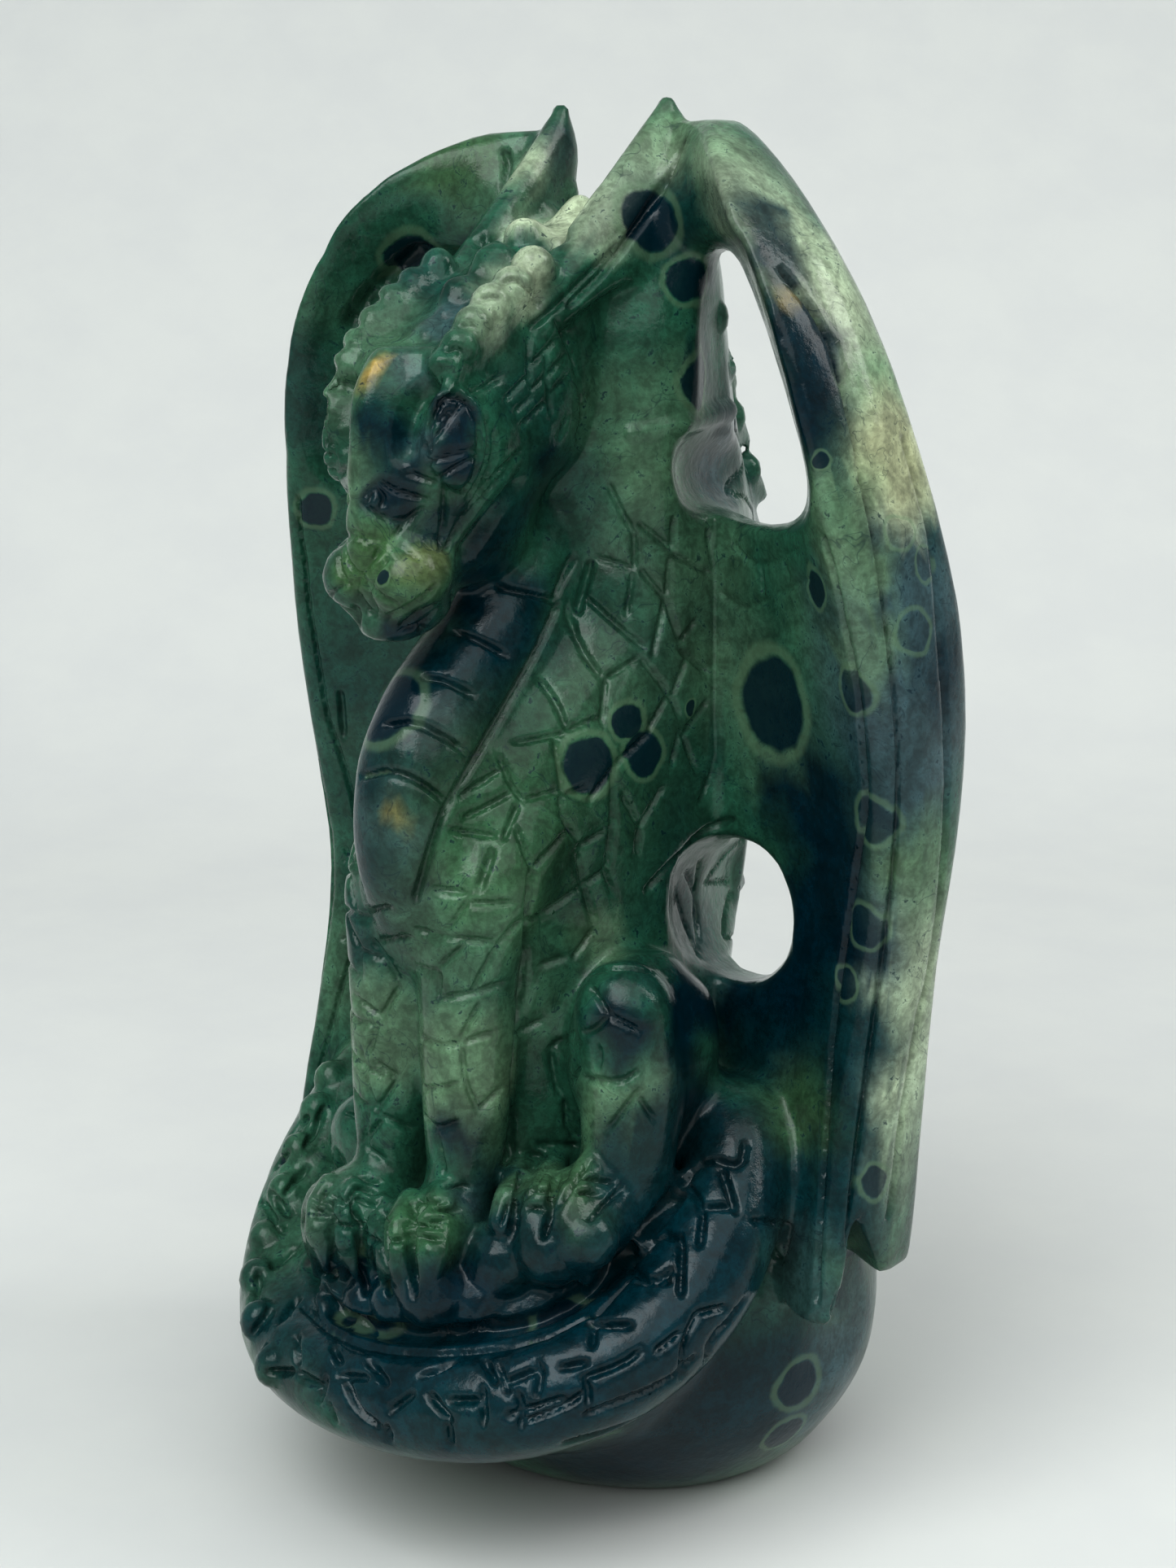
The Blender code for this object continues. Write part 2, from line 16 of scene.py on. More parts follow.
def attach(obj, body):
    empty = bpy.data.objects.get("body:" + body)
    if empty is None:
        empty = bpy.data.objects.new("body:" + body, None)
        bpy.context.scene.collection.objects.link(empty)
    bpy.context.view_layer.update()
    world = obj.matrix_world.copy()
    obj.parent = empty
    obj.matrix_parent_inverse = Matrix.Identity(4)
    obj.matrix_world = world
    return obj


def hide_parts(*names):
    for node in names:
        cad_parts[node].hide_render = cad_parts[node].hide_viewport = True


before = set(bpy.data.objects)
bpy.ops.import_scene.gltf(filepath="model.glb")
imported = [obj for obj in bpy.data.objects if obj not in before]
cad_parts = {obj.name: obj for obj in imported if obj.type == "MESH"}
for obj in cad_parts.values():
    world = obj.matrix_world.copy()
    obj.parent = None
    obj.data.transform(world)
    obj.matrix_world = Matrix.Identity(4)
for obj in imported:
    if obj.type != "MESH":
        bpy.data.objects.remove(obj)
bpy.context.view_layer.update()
MM = 0.001

# %% [markdown]
# The camera comes first, because the cuts are laid where the photograph shows them. It stands at the
# dragon's left front, a little above it. The stone was drawn from near and far pairs of horns, brows and
# legs, which fixed the angle and the distance.

# %% Camera
PHOTO_WIDTH, PHOTO_HEIGHT = 1445, 1927
AZIMUTH, ELEVATION = math.radians(40), math.radians(12)
AIM = Vector((0, 0, 84 * MM))
DISTANCE, LENS, SENSOR = 277.3 * MM, 52, 36

back = Vector((math.sin(AZIMUTH) * math.cos(ELEVATION), -math.cos(AZIMUTH) * math.cos(ELEVATION),
               math.sin(ELEVATION)))
EYE = AIM + back * DISTANCE
bpy.ops.object.select_all(action="DESELECT")
bpy.ops.object.camera_add(location=EYE)
camera = bpy.context.object
camera.name = "camera"
camera.rotation_mode = "QUATERNION"
camera.rotation_quaternion = (-back).to_track_quat("-Z", "Y")
camera.data.lens, camera.data.sensor_width = LENS, SENSOR
bpy.context.scene.camera = camera
TURN = camera.rotation_quaternion.to_matrix()
PIXEL = SENSOR / PHOTO_HEIGHT / LENS          # size of a photo pixel at one unit of distance


def sight(x, y):
    """Direction from the eye through a pixel of the photograph."""
    return (TURN @ Vector(((x - PHOTO_WIDTH / 2) * PIXEL, (PHOTO_HEIGHT / 2 - y) * PIXEL, -1))).normalized()


print("eye, mm:", [round(c / MM, 1) for c in EYE])

# %% [markdown]
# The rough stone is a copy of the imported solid. Its triangles are merged into one skin and subdivided,
# which rounds the facets the way a felt wheel does, without changing the outline.

# %% The rough stone
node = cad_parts["dragon_carving"]
stone = bpy.data.objects.new("dragon_stone", node.data.copy())
bpy.context.scene.collection.objects.link(stone)
stone.data.materials.clear()


def pick(*objects):
    """Select just these objects, the first one active."""
    bpy.ops.object.select_all(action="DESELECT")
    for o in objects:
        o.select_set(True)
    bpy.context.view_layer.objects.active = objects[0]


def apply(obj, kind, **settings):
    """Add one modifier, set it and apply it."""
    pick(obj)
    m = obj.modifiers.new(kind.lower(), kind)
    for key, value in settings.items():
        setattr(m, key, value)
    bpy.ops.object.modifier_apply(modifier=m.name)


pick(stone)
bpy.ops.object.mode_set(mode="EDIT")
bpy.ops.mesh.select_all(action="SELECT")
bpy.ops.mesh.remove_doubles(threshold=0.001 * MM)
bpy.ops.object.mode_set(mode="OBJECT")
apply(stone, "SUBSURF", levels=2, render_levels=2)
print("rough stone:", len(stone.data.vertices), "vertices")

# %% [markdown]
# The small rounded forms stand proud of the rough stone: toes and claws, the scallops of brow and crest,
# the cheek disc, the horn tips, the teeth beside the upper opening and the plates down the edge of the
# tail. Each is a ball or a row of balls, set where a sight line of the photograph meets the stone and
# sunk part of its radius into it.

# %% Small rounded forms
rough_tree = BVHTree.FromObject(stone, bpy.context.evaluated_depsgraph_get())
FORMS = []


def ball(at, radii, turn=(1, 0, 0, 0)):
    """A ball or egg, its radii in mm."""
    bpy.ops.object.select_all(action="DESELECT")
    bpy.ops.mesh.primitive_ico_sphere_add(subdivisions=2, radius=MM, location=at)
    o = bpy.context.object
    o.rotation_mode, o.rotation_quaternion, o.scale = "QUATERNION", turn, radii
    FORMS.append(o)


def seat(x, y, sunk):
    """The place under a photo pixel, sunk mm below the surface, and the normal there."""
    at, normal, _, _ = rough_tree.ray_cast(EYE, sight(x, y))
    return (None, None) if at is None else (at - normal * sunk * MM, normal)


def toe(*steps):
    """A row of balls along photo pixels, given as x, y and radius in mm."""
    spots = [(seat(x, y, TOE_SUNK * r)[0], r) for x, y, r in steps]
    spots = [p for p in spots if p[0] is not None]
    for (a, ra), (b, rb) in zip(spots, spots[1:]):
        n = max(2, round((b - a).length / (SPACING * min(ra, rb) * MM)))
        for k in range(n + 1):
            r = ra + (rb - ra) * k / n
            ball(a.lerp(b, k / n), (r, r, r))


def mirrored(at):
    """The same place or direction on the dragon's other side."""
    return Vector((-at.x, at.y, at.z))


TOE_SUNK, BROW_SUNK, CREST_SUNK, CLAW_SUNK = 0.35, 0.6, 0.68, 0.55      # shares of a ball's radius
TOOTH_SUNK, PLATE_SUNK = 1.3, 0.8       # mm
SPACING = 0.45          # share of the radius between two balls of a row
FAR_BROW = 0.85         # the far brow's balls are narrower, so that they stay inside the outline
FAR_TOES = (((402, 1452, 1.5), (389, 1480, 1.9), (386, 1512, 1.8), (390, 1570, 0.7)),
            ((434, 1458, 1.6), (425, 1488, 2.0), (424, 1522, 1.9), (421, 1572, 0.7)))
NEAR_TOES = (((470, 1478, 1.4), (456, 1503, 1.7), (457, 1532, 1.5), (460, 1564, 0.6)),
             ((502, 1470, 1.6), (485, 1504, 1.9), (486, 1536, 1.7), (488, 1572, 0.7)),
             ((545, 1466, 2.0), (531, 1500, 2.5), (529, 1538, 2.3), (527, 1578, 1.2)))
HIND_TOE_ROWS = (((642, 1436, 1.8), (622, 1470, 2.1), (612, 1500, 1.7), (605, 1524, 0.8)),
                 ((684, 1432, 1.8), (663, 1468, 2.1), (650, 1500, 1.7), (644, 1524, 0.8)),
                 ((724, 1428, 1.8), (706, 1465, 2.1), (694, 1497, 1.7), (688, 1520, 0.8)))
for row in (*FAR_TOES, *NEAR_TOES, *HIND_TOE_ROWS):
    toe(*row)

BROW_SCALLOPS = ((668, 326, 2.6), (640, 346, 2.5), (612, 368, 2.4), (588, 394, 2.3), (570, 422, 2.2),
                 (550, 446, 2.1))
CREST_SCALLOPS = ((702, 240, 2.9), (674, 262, 2.5), (648, 284, 2.4), (620, 308, 2.4), (594, 332, 2.2),
                  (570, 358, 2.1), (546, 384, 2.0), (524, 410, 1.9))
CHEEK, CHEEK_RADII, CHEEK_SUNK = (562, 536), (3.7, 1.5, 5.8), 0.4
HORN_TIP, TIP_RADII = Vector((8.0 * MM, 4.5 * MM, 163.6 * MM)), (1.1, 1.1, 1.2)
HORN_STEM, STEM_RADII = Vector((0, 0.9, 3)) * MM, (1.9, 1.9, 2.4)
TEETH, TOOTH_RADII = ((887, 390), (897, 450), (907, 512), (917, 570)), (2.2, 2.2, 2.6)
LEDGE = ((775, 533, 1.0), (840, 520, 1.5), (896, 505, 1.6))
UNDER_CLAWS = ((404, 1590, 3.0), (440, 1600, 3.5), (480, 1605, 4.0), (530, 1605, 4.5), (580, 1590, 5.0),
               (630, 1565, 5.0), (680, 1550, 5.0), (730, 1530, 4.0))
SIDE_PLATES = ((404, 1322), (387, 1362), (364, 1412), (348, 1462), (324, 1520), (314, 1566), (312, 1622),
               (330, 1680))
PLATE_RADII = (2.5, 2.5, 2.8)


def bead(x, y, sunk, radii):
    """A ball under a photo pixel. Gives back its place."""
    at, _ = seat(x, y, sunk)
    if at is not None:
        ball(at, radii)
    return at


for x, y, r in BROW_SCALLOPS:
    at = bead(x, y, BROW_SUNK * r, (r, r, r))
    if at is not None:
        ball(mirrored(at), (FAR_BROW * r, FAR_BROW * r, r))
for x, y, r in CREST_SCALLOPS:
    bead(x, y, CREST_SUNK * r, (r, r, r))
at, normal = seat(*CHEEK, CHEEK_SUNK)
ball(at, CHEEK_RADII, normal.to_track_quat("Y", "Z"))
ball(mirrored(at), CHEEK_RADII, mirrored(normal).to_track_quat("Y", "Z"))
for tip in (HORN_TIP, mirrored(HORN_TIP)):
    ball(tip, TIP_RADII)
    ball(tip - HORN_STEM, STEM_RADII)
for x, y in TEETH:
    bead(x, y, TOOTH_SUNK, TOOTH_RADII)
toe(*LEDGE)
for x, y, r in UNDER_CLAWS:
    bead(x, y, CLAW_SUNK * r, (r, r, r))
for x, y in SIDE_PLATES:
    bead(x, y, PLATE_SUNK, PLATE_RADII)
print("small forms:", len(FORMS), "balls")
pick(stone, *FORMS)
bpy.ops.object.join()

# %% [markdown]
# One stone has one skin, so everything is fused by a voxel remesh. The grain is finer than a wheel cut,
# and a few passes of smoothing take its steps away.

# %% Fuse into one skin
GRAIN = 0.36 * MM
apply(stone, "REMESH", mode="VOXEL", voxel_size=GRAIN)
apply(stone, "SMOOTH", factor=0.5, iterations=5)
print("fused stone:", len(stone.data.vertices), "vertices")

# %% [markdown]
# Every wheel cut is a short stroke. The strokes of the visible side are measured in the photograph, in
# pixels, and named by the place they belong to. Each place has its own wheel, so its cuts share one width
# and one depth.

# %% Strokes of the head
EYE_CUTS = (
    ((444, 615), (453, 602), (464, 592)), ((465, 590), (487, 603), (522, 614)),
    ((445, 617), (463, 631), (480, 639)), ((481, 639), (497, 641), (518, 626)),
    ((517, 626), (500, 642), (484, 658)), ((449, 622), (463, 597)), ((463, 598), (474, 614), (466, 626)),
    ((499, 580), (516, 587), (535, 595)), ((545, 599), (545, 638), (541, 677)),)
WRINKLES = (
    ((431, 650), (448, 659), (466, 663)), ((490, 671), (503, 678), (514, 686)), ((524, 667), (541, 677)),
    ((428, 656), (453, 667)),)
MUZZLE_CUTS = (
    ((470, 672), (451, 694), (440, 711), (436, 726)), ((436, 726), (448, 745), (461, 759)),
    ((449, 714), (465, 732), (487, 743)), ((426, 657), (414, 682), (419, 706), (432, 724)),
    ((537, 720), (518, 737), (493, 752), (471, 760)), ((492, 772), (509, 757), (535, 745)),
    ((491, 777), (521, 767), (538, 748)),)
CHEEK_RIM = (
    ((526, 556), (529, 517), (545, 490), (572, 488), (589, 510), (593, 546), (587, 585), (569, 605)),)
CHEEK_RAYS = (
    ((519, 556), (535, 536), (570, 493)), ((523, 546), (545, 527), (557, 505)),
    ((524, 568), (550, 561), (589, 552)), ((535, 590), (560, 575), (592, 558)), ((532, 524), (557, 500)),)
FRILL_LINES = (
    ((599, 524), (601, 556), (594, 585), (575, 614)), ((607, 529), (609, 556), (600, 585), (578, 628)),
    ((627, 577), (601, 604), (570, 643)), ((615, 461), (596, 476), (577, 483)),
    ((640, 556), (608, 585), (574, 628), (547, 677)),)
BROW_CUTS = (
    ((616, 347), (632, 342), (648, 352), (664, 376)), ((589, 367), (602, 363), (614, 367)),
    ((564, 401), (574, 398), (584, 402)), ((547, 432), (558, 427), (569, 434)),
    ((529, 470), (522, 481), (515, 491)), ((542, 461), (529, 470)),)
HORN_LINE = (
    ((653, 402), (687, 373), (721, 339), (760, 303)),)
HORN_TOP = (
    ((700, 375), (752, 323), (804, 249), (840, 173)),)
NECK_CUTS = (
    ((650, 412), (650, 442), (653, 479)), ((673, 433), (673, 465), (678, 513)), ((685, 417), (653, 447)),
    ((694, 438), (675, 458), (653, 479)), ((698, 463), (675, 486)), ((673, 493), (641, 523)),
    ((650, 461), (621, 491)), ((653, 488), (633, 505)), ((683, 392), (705, 438), (719, 507), (710, 535)),
    ((698, 513), (687, 539)), ((685, 452), (664, 470)),)
CUTS = [  # strokes, half width in mm, depth in mm, on both sides
    (EYE_CUTS, 0.42, 0.6, True), (WRINKLES, 0.4, 0.5, True), (MUZZLE_CUTS, 0.42, 0.55, True),
    (CHEEK_RIM, 0.6, 0.7, True), (CHEEK_RAYS, 0.4, 0.5, True), (FRILL_LINES, 0.5, 0.6, True),
    (BROW_CUTS, 0.5, 0.6, True), (HORN_LINE, 0.7, 0.8, True), (HORN_TOP, 0.8, 0.9, True),
    (NECK_CUTS, 0.4, 0.45, True),
]
print("strokes of the head:", sum(len(c[0]) for c in CUTS))

# %% [markdown]
# Four places of the head are hollowed with a wide wheel: the channels between the crest and the brows,
# the back of the far brow, the eye socket and the underside of the jaw.

# %% Hollows of the head
BROW_CHANNEL = (((694, 290), (650, 322), (600, 368), (560, 410), (522, 455), (500, 500)),)
FAR_BROW_SCOOP = (((520, 312), (488, 338), (462, 362), (440, 392), (424, 420)),)
SOCKET = (((545, 462), (518, 482), (502, 515), (498, 560)),)
JAW_SCOOP = (((640, 590), (600, 640), (570, 680)),)
CUTS += [(BROW_CHANNEL, 1.7, 1.0, True), (FAR_BROW_SCOOP, 2.6, 2.0, False), (SOCKET, 2.0, 1.5, True),
         (JAW_SCOOP, 2.0, 1.0, True)]
print("kinds of cut so far:", len(CUTS))

# %% [markdown]
# The throat is a column of broad belly scutes. The flank is covered by a net of short strokes that meet
# in threes, so that the stone between them reads as scales.

# %% Strokes of the throat and the flank
THROAT_SCUTES = (
    ((613, 721), (648, 728), (684, 739)), ((559, 774), (587, 784), (622, 805)),
    ((519, 831), (548, 835), (582, 854)), ((471, 890), (506, 885), (548, 906), (569, 920)),
    ((443, 954), (479, 946), (518, 962), (548, 985)), ((432, 1057), (468, 1064), (504, 1041)),
    ((453, 1121), (478, 1116)),)
COLUMN_EDGES = (
    ((686, 744), (663, 797), (610, 889), (571, 958), (545, 1000), (527, 1054), (510, 1107)),
    ((703, 686), (682, 736)), ((726, 690), (709, 751)),)
COLUMN_LOW = (
    ((423, 1057), (468, 1068), (503, 1052)), ((449, 1121), (479, 1117)), ((466, 1158), (503, 1152)),)
FLANK_CUTS = (
    ((730, 684), (778, 699)), ((747, 596), (763, 629), (778, 654)), ((779, 655), (780, 699)),
    ((786, 644), (826, 675)), ((826, 682), (876, 707)), ((870, 652), (879, 707)), ((787, 700), (818, 736)),
    ((828, 638), (826, 675)), ((824, 686), (820, 732)), ((777, 707), (770, 755)),
    ((719, 734), (753, 763), (791, 795)), ((818, 736), (803, 805)), ((819, 737), (835, 786)),
    ((856, 763), (835, 790)), ((836, 799), (870, 828)), ((845, 809), (826, 858)), ((747, 832), (787, 807)),
    ((788, 808), (828, 860), (835, 881)), ((696, 747), (711, 793), (738, 830)), ((745, 834), (740, 889)),
    ((820, 857), (797, 899)), ((870, 862), (841, 901)), ((837, 897), (826, 939)), ((839, 901), (856, 946)),
    ((694, 898), (740, 881)), ((633, 912), (695, 901)), ((664, 834), (686, 866), (696, 894)),
    ((682, 906), (689, 946), (692, 977)), ((694, 976), (722, 970)), ((795, 904), (757, 939)),
    ((756, 943), (724, 984)), ((644, 982), (688, 971)), ((614, 931), (629, 966), (644, 985)),
    ((564, 981), (614, 946)), ((571, 1006), (629, 974)), ((637, 989), (618, 1031)),
    ((633, 1015), (655, 1065)), ((656, 1067), (696, 1025)), ((555, 1021), (610, 1026)),
    ((603, 1046), (587, 1092)), ((689, 979), (693, 1008), (709, 1031)), ((711, 1041), (742, 1023)),
    ((533, 1092), (575, 1096)), ((577, 1109), (633, 1111)), ((575, 1107), (546, 1145)),
    ((656, 1069), (649, 1119), (645, 1160)), ((648, 1134), (686, 1111), (706, 1096)),
    ((707, 1096), (743, 1071)), ((719, 1092), (730, 1134)), ((712, 1050), (717, 1088)),
    ((742, 1065), (753, 1096)), ((765, 977), (786, 1015)), ((816, 966), (786, 1018)),
    ((786, 1019), (784, 1050)), ((754, 946), (753, 1012)), ((753, 1012), (747, 1061)),)
FLANK_LINE = (
    ((878, 638), (878, 707), (878, 803), (878, 890), (880, 937), (860, 987)),)
FINE_CUTS = (
    ((901, 668), (919, 690), (943, 694), (976, 676)), ((888, 731), (912, 751), (943, 734)),
    ((992, 712), (959, 730)), ((934, 690), (937, 733)), ((960, 686), (969, 712)),)
LOWER_SCOOP = (
    ((900, 1006), (858, 1025), (832, 1054), (795, 1094)),)
GOUGES = (
    ((843, 1072), (856, 1102), (860, 1158)), ((860, 1059), (852, 1106), (859, 1167)),
    ((830, 1093), (843, 1141), (860, 1176)),)
FAR_WING = (
    ((437, 747), (443, 797), (451, 862)), ((518, 769), (523, 805)), ((556, 732), (559, 751)),
    ((418, 851), (422, 904)),)
CUTS += [
    (THROAT_SCUTES, 0.7, 0.9, False), (COLUMN_EDGES, 0.8, 0.9, True), (COLUMN_LOW, 0.6, 0.7, False),
    (FLANK_CUTS, 0.58, 0.62, True), (FLANK_LINE, 0.45, 0.4, True), (FINE_CUTS, 0.34, 0.3, True),
    (LOWER_SCOOP, 0.7, 0.7, True), (GOUGES, 0.5, 0.4, True), (FAR_WING, 0.8, 0.6, False),
]
print("kinds of cut so far:", len(CUTS))

# %% [markdown]
# The legs carry the net on, with closer strokes over the knuckles. A long double line parts foreleg from
# haunch, and wider gaps part the toes.

# %% Strokes of the legs and paws
LEG_CUTS = (
    ((642, 1040), (655, 1067)), ((684, 1040), (657, 1066)), ((606, 1048), (589, 1095)),
    ((533, 1094), (571, 1097)), ((579, 1109), (633, 1110)), ((573, 1107), (548, 1143)),
    ((512, 1143), (545, 1151), (606, 1159)), ((611, 1164), (640, 1132)), ((571, 1162), (537, 1189)),
    ((512, 1189), (539, 1195)), ((539, 1196), (537, 1227)), ((543, 1227), (587, 1220), (621, 1208)),
    ((610, 1166), (581, 1218)), ((512, 1241), (539, 1231)), ((648, 1134), (686, 1113), (705, 1097)),
    ((706, 1097), (742, 1073)), ((717, 1082), (730, 1132)), ((663, 1187), (698, 1176)),
    ((730, 1143), (705, 1178)), ((589, 1235), (566, 1277)), ((518, 1277), (545, 1287), (567, 1282)),
    ((568, 1282), (606, 1270)), ((567, 1289), (571, 1331), (587, 1365)), ((589, 1365), (615, 1340)),
    ((518, 1338), (545, 1338), (564, 1331)), ((522, 1374), (534, 1390), (564, 1379)),
    ((636, 1270), (667, 1254)), ((677, 1293), (683, 1335), (691, 1346)),
    ((711, 1312), (691, 1350), (668, 1391)), ((678, 1287), (705, 1270)), ((535, 1392), (545, 1442)),)
LONG_LINE = (
    ((655, 1069), (649, 1132), (644, 1193), (634, 1270), (629, 1346), (628, 1417)),)
KNEE_CUTS = (
    ((726, 1214), (738, 1231), (747, 1247)), ((748, 1247), (786, 1267)),
    ((747, 1249), (730, 1266), (717, 1270)), ((736, 1289), (734, 1312)),
    ((717, 1326), (759, 1332), (786, 1315)), ((786, 1340), (745, 1389)), ((786, 1351), (805, 1377)),
    ((694, 1351), (698, 1393), (728, 1402)), ((661, 1407), (724, 1409), (755, 1418), (786, 1423)),
    ((803, 1193), (766, 1187), (724, 1193), (699, 1220)),)
HIND_TOES = (
    ((675, 1426), (661, 1449), (648, 1469)), ((724, 1426), (705, 1453), (686, 1480)),
    ((648, 1419), (683, 1423)), ((634, 1432), (668, 1433)), ((625, 1455), (652, 1457)),
    ((672, 1439), (698, 1448)), ((656, 1461), (683, 1463)), ((648, 1484), (669, 1486)),
    ((705, 1426), (729, 1431)), ((717, 1446), (752, 1452)), ((710, 1465), (737, 1467)),
    ((763, 1461), (724, 1499)), ((625, 1476), (615, 1507)),)
NEAR_PAW = (
    ((545, 1457), (576, 1459)), ((514, 1474), (545, 1476)), ((534, 1484), (564, 1488)),
    ((522, 1500), (549, 1500)), ((522, 1480), (508, 1495), (499, 1508)),
    ((479, 1495), (470, 1509), (467, 1537)), ((448, 1509), (446, 1534), (453, 1564)),
    ((471, 1509), (468, 1534), (476, 1564)), ((476, 1524), (497, 1523)), ((511, 1505), (545, 1508)),
    ((449, 1523), (466, 1526)), ((514, 1520), (541, 1523)), ((502, 1511), (503, 1537), (506, 1572)),)
FAR_PAW = (
    ((441, 1446), (468, 1453)), ((437, 1457), (462, 1465)), ((434, 1469), (458, 1480)),
    ((403, 1461), (388, 1480)), ((384, 1472), (405, 1478)), ((382, 1484), (407, 1495)),
    ((409, 1469), (428, 1480)), ((441, 1457), (418, 1480), (408, 1505)), ((409, 1505), (441, 1509)),
    ((407, 1495), (403, 1505), (405, 1537)), ((468, 1472), (448, 1492), (446, 1505)),
    ((382, 1493), (404, 1497)),)
TOE_GAPS = (
    ((405, 1478), (407, 1530), (410, 1580)), ((433, 1469), (442, 1520), (450, 1588)),
    ((471, 1490), (473, 1540), (478, 1590)), ((508, 1478), (506, 1530), (508, 1592)),
    ((642, 1440), (634, 1480), (628, 1520)), ((684, 1440), (675, 1480), (668, 1520)),)
FAR_LEG = (
    ((420, 1153), (452, 1154)), ((435, 1226), (469, 1250)), ((469, 1250), (491, 1214)),
    ((458, 1156), (491, 1205)), ((453, 1293), (463, 1259)), ((458, 1304), (490, 1325)),
    ((490, 1327), (463, 1365)), ((443, 1293), (452, 1346), (469, 1373)), ((466, 1371), (507, 1388)),
    ((470, 1377), (443, 1407), (471, 1425)),
    ((423, 1040), (441, 1097), (461, 1147), (494, 1193), (506, 1239)),)
CUTS += [
    (LEG_CUTS, 0.58, 0.62, True), (LONG_LINE, 0.8, 0.9, True), (KNEE_CUTS, 0.58, 0.65, True),
    (HIND_TOES, 0.5, 1.0, True), (NEAR_PAW, 0.5, 1.0, False), (FAR_PAW, 0.5, 1.0, False),
    (TOE_GAPS, 0.7, 1.5, False), (FAR_LEG, 0.58, 0.6, False),
]
print("kinds of cut so far:", len(CUTS))

# %% [markdown]
# The tail starts at the left hip, runs round the front of the mound and up its right side. A deep line
# parts it from the mound.

# %% Strokes of the tail
SIDE_CUTS = (
    ((399, 1361), (376, 1410)), ((377, 1373), (351, 1406)), ((353, 1416), (340, 1434)),
    ((377, 1434), (352, 1466)), ((331, 1466), (355, 1493)), ((374, 1497), (336, 1533)),
    ((320, 1476), (349, 1513)), ((365, 1532), (335, 1557)), ((318, 1564), (312, 1601)),
    ((365, 1596), (343, 1624)), ((333, 1608), (310, 1640)), ((363, 1642), (365, 1676)),
    ((328, 1687), (359, 1685)),)
TAIL_CUTS = (
    ((365, 1687), (395, 1704)), ((399, 1695), (391, 1721)), ((410, 1655), (417, 1675)),
    ((424, 1695), (438, 1734), (466, 1754)), ((418, 1691), (450, 1693)), ((454, 1673), (474, 1701)),
    ((506, 1713), (480, 1734)), ((529, 1715), (553, 1747)), ((517, 1691), (557, 1673)),
    ((553, 1721), (589, 1721)), ((596, 1671), (608, 1699)), ((592, 1707), (594, 1750)),
    ((620, 1699), (664, 1680)), ((664, 1681), (660, 1715)), ((691, 1680), (720, 1675)),
    ((624, 1740), (695, 1719)), ((638, 1715), (642, 1754)), ((723, 1703), (724, 1727)),
    ((474, 1754), (477, 1770)), ((549, 1750), (553, 1776)), ((403, 1727), (410, 1746)),)
MOUND_LINE = (
    ((377, 1549), (389, 1588), (426, 1624), (501, 1642), (581, 1639), (656, 1623), (715, 1596),
     (774, 1537), (834, 1466)),)
TAIL_RIDGE = (
    ((371, 1604), (410, 1640), (470, 1660), (557, 1664), (656, 1651), (723, 1616)),)
TAIL_PLATES = (
    ((774, 1559), (800, 1574), (826, 1559)), ((776, 1556), (810, 1515), (831, 1521)),
    ((834, 1519), (837, 1590)), ((841, 1455), (862, 1481), (859, 1529)), ((863, 1482), (901, 1482)),
    ((837, 1459), (853, 1432), (877, 1425)), ((884, 1434), (897, 1467), (904, 1488)),
    ((877, 1425), (912, 1432), (916, 1404)), ((730, 1616), (774, 1570)), ((723, 1625), (774, 1628)),
    ((727, 1626), (727, 1653)), ((784, 1574), (821, 1574)),)
TAIL_LOW = (
    ((837, 1693), (842, 1646), (857, 1614)), ((857, 1614), (893, 1606)),
    ((869, 1673), (873, 1646), (901, 1621)), ((916, 1598), (879, 1645)), ((806, 1661), (837, 1637)),
    ((715, 1695), (766, 1677), (786, 1661)), ((636, 1712), (640, 1756)),
    ((643, 1748), (695, 1728), (719, 1712)), ((719, 1689), (723, 1728)), ((612, 1677), (624, 1712)),
    ((659, 1673), (663, 1712)),)
TAIL_EDGE = (
    ((695, 1774), (758, 1756), (825, 1724), (877, 1691), (912, 1653), (944, 1618)),
    ((719, 1740), (821, 1701), (853, 1669)),)
PIT = (
    ((926, 1500), (944, 1501), (972, 1508)), ((972, 1508), (958, 1552)),
    ((958, 1552), (941, 1519), (925, 1502)),)
CUTS += [
    (SIDE_CUTS, 0.75, 1.0, False), (TAIL_CUTS, 0.75, 0.95, False), (MOUND_LINE, 1.4, 2.0, False),
    (TAIL_RIDGE, 0.65, 0.7, False), (TAIL_PLATES, 0.8, 1.1, False), (TAIL_LOW, 0.65, 0.8, False),
    (TAIL_EDGE, 0.7, 0.8, False), (PIT, 0.6, 0.8, False),
]
print("kinds of cut so far:", len(CUTS))

# %% [markdown]
# Three long grooves follow the wing: the inner border of the rounded leading strip, the groove behind it
# and the one behind the second strip. On the stone they are drawn with the rim of a larger wheel, so each
# is one stroke here too.

# %% Grooves of the wing
STRIP_GROOVE = (
    ((960, 330), (1014, 400), (1036, 473), (1052, 540), (1062, 597), (1078, 668), (1091, 763),
     (1102, 859), (1107, 939), (1103, 1018), (1099, 1063), (1086, 1160), (1065, 1315), (1050, 1442),
     (1040, 1560), (1021, 1623)),)
OUTER_GROOVE = (
    ((1111, 540), (1129, 604), (1143, 652), (1151, 719), (1155, 782), (1161, 859), (1164, 923),
     (1164, 987), (1158, 1076), (1151, 1139), (1141, 1202), (1128, 1252), (1118, 1316), (1107, 1379),
     (1099, 1454), (1092, 1496)),)
INNER_BORDER = (
    ((1011, 661), (1024, 706), (1036, 770), (1048, 817), (1056, 875), (1060, 923), (1064, 987),
     (1057, 1031), (1046, 1105), (1023, 1252), (1015, 1379), (1006, 1505), (1003, 1600)),)
CUTS += [(STRIP_GROOVE, 0.6, 1.1, True), (OUTER_GROOVE, 0.5, 0.9, True), (INNER_BORDER, 0.5, 0.8, True)]
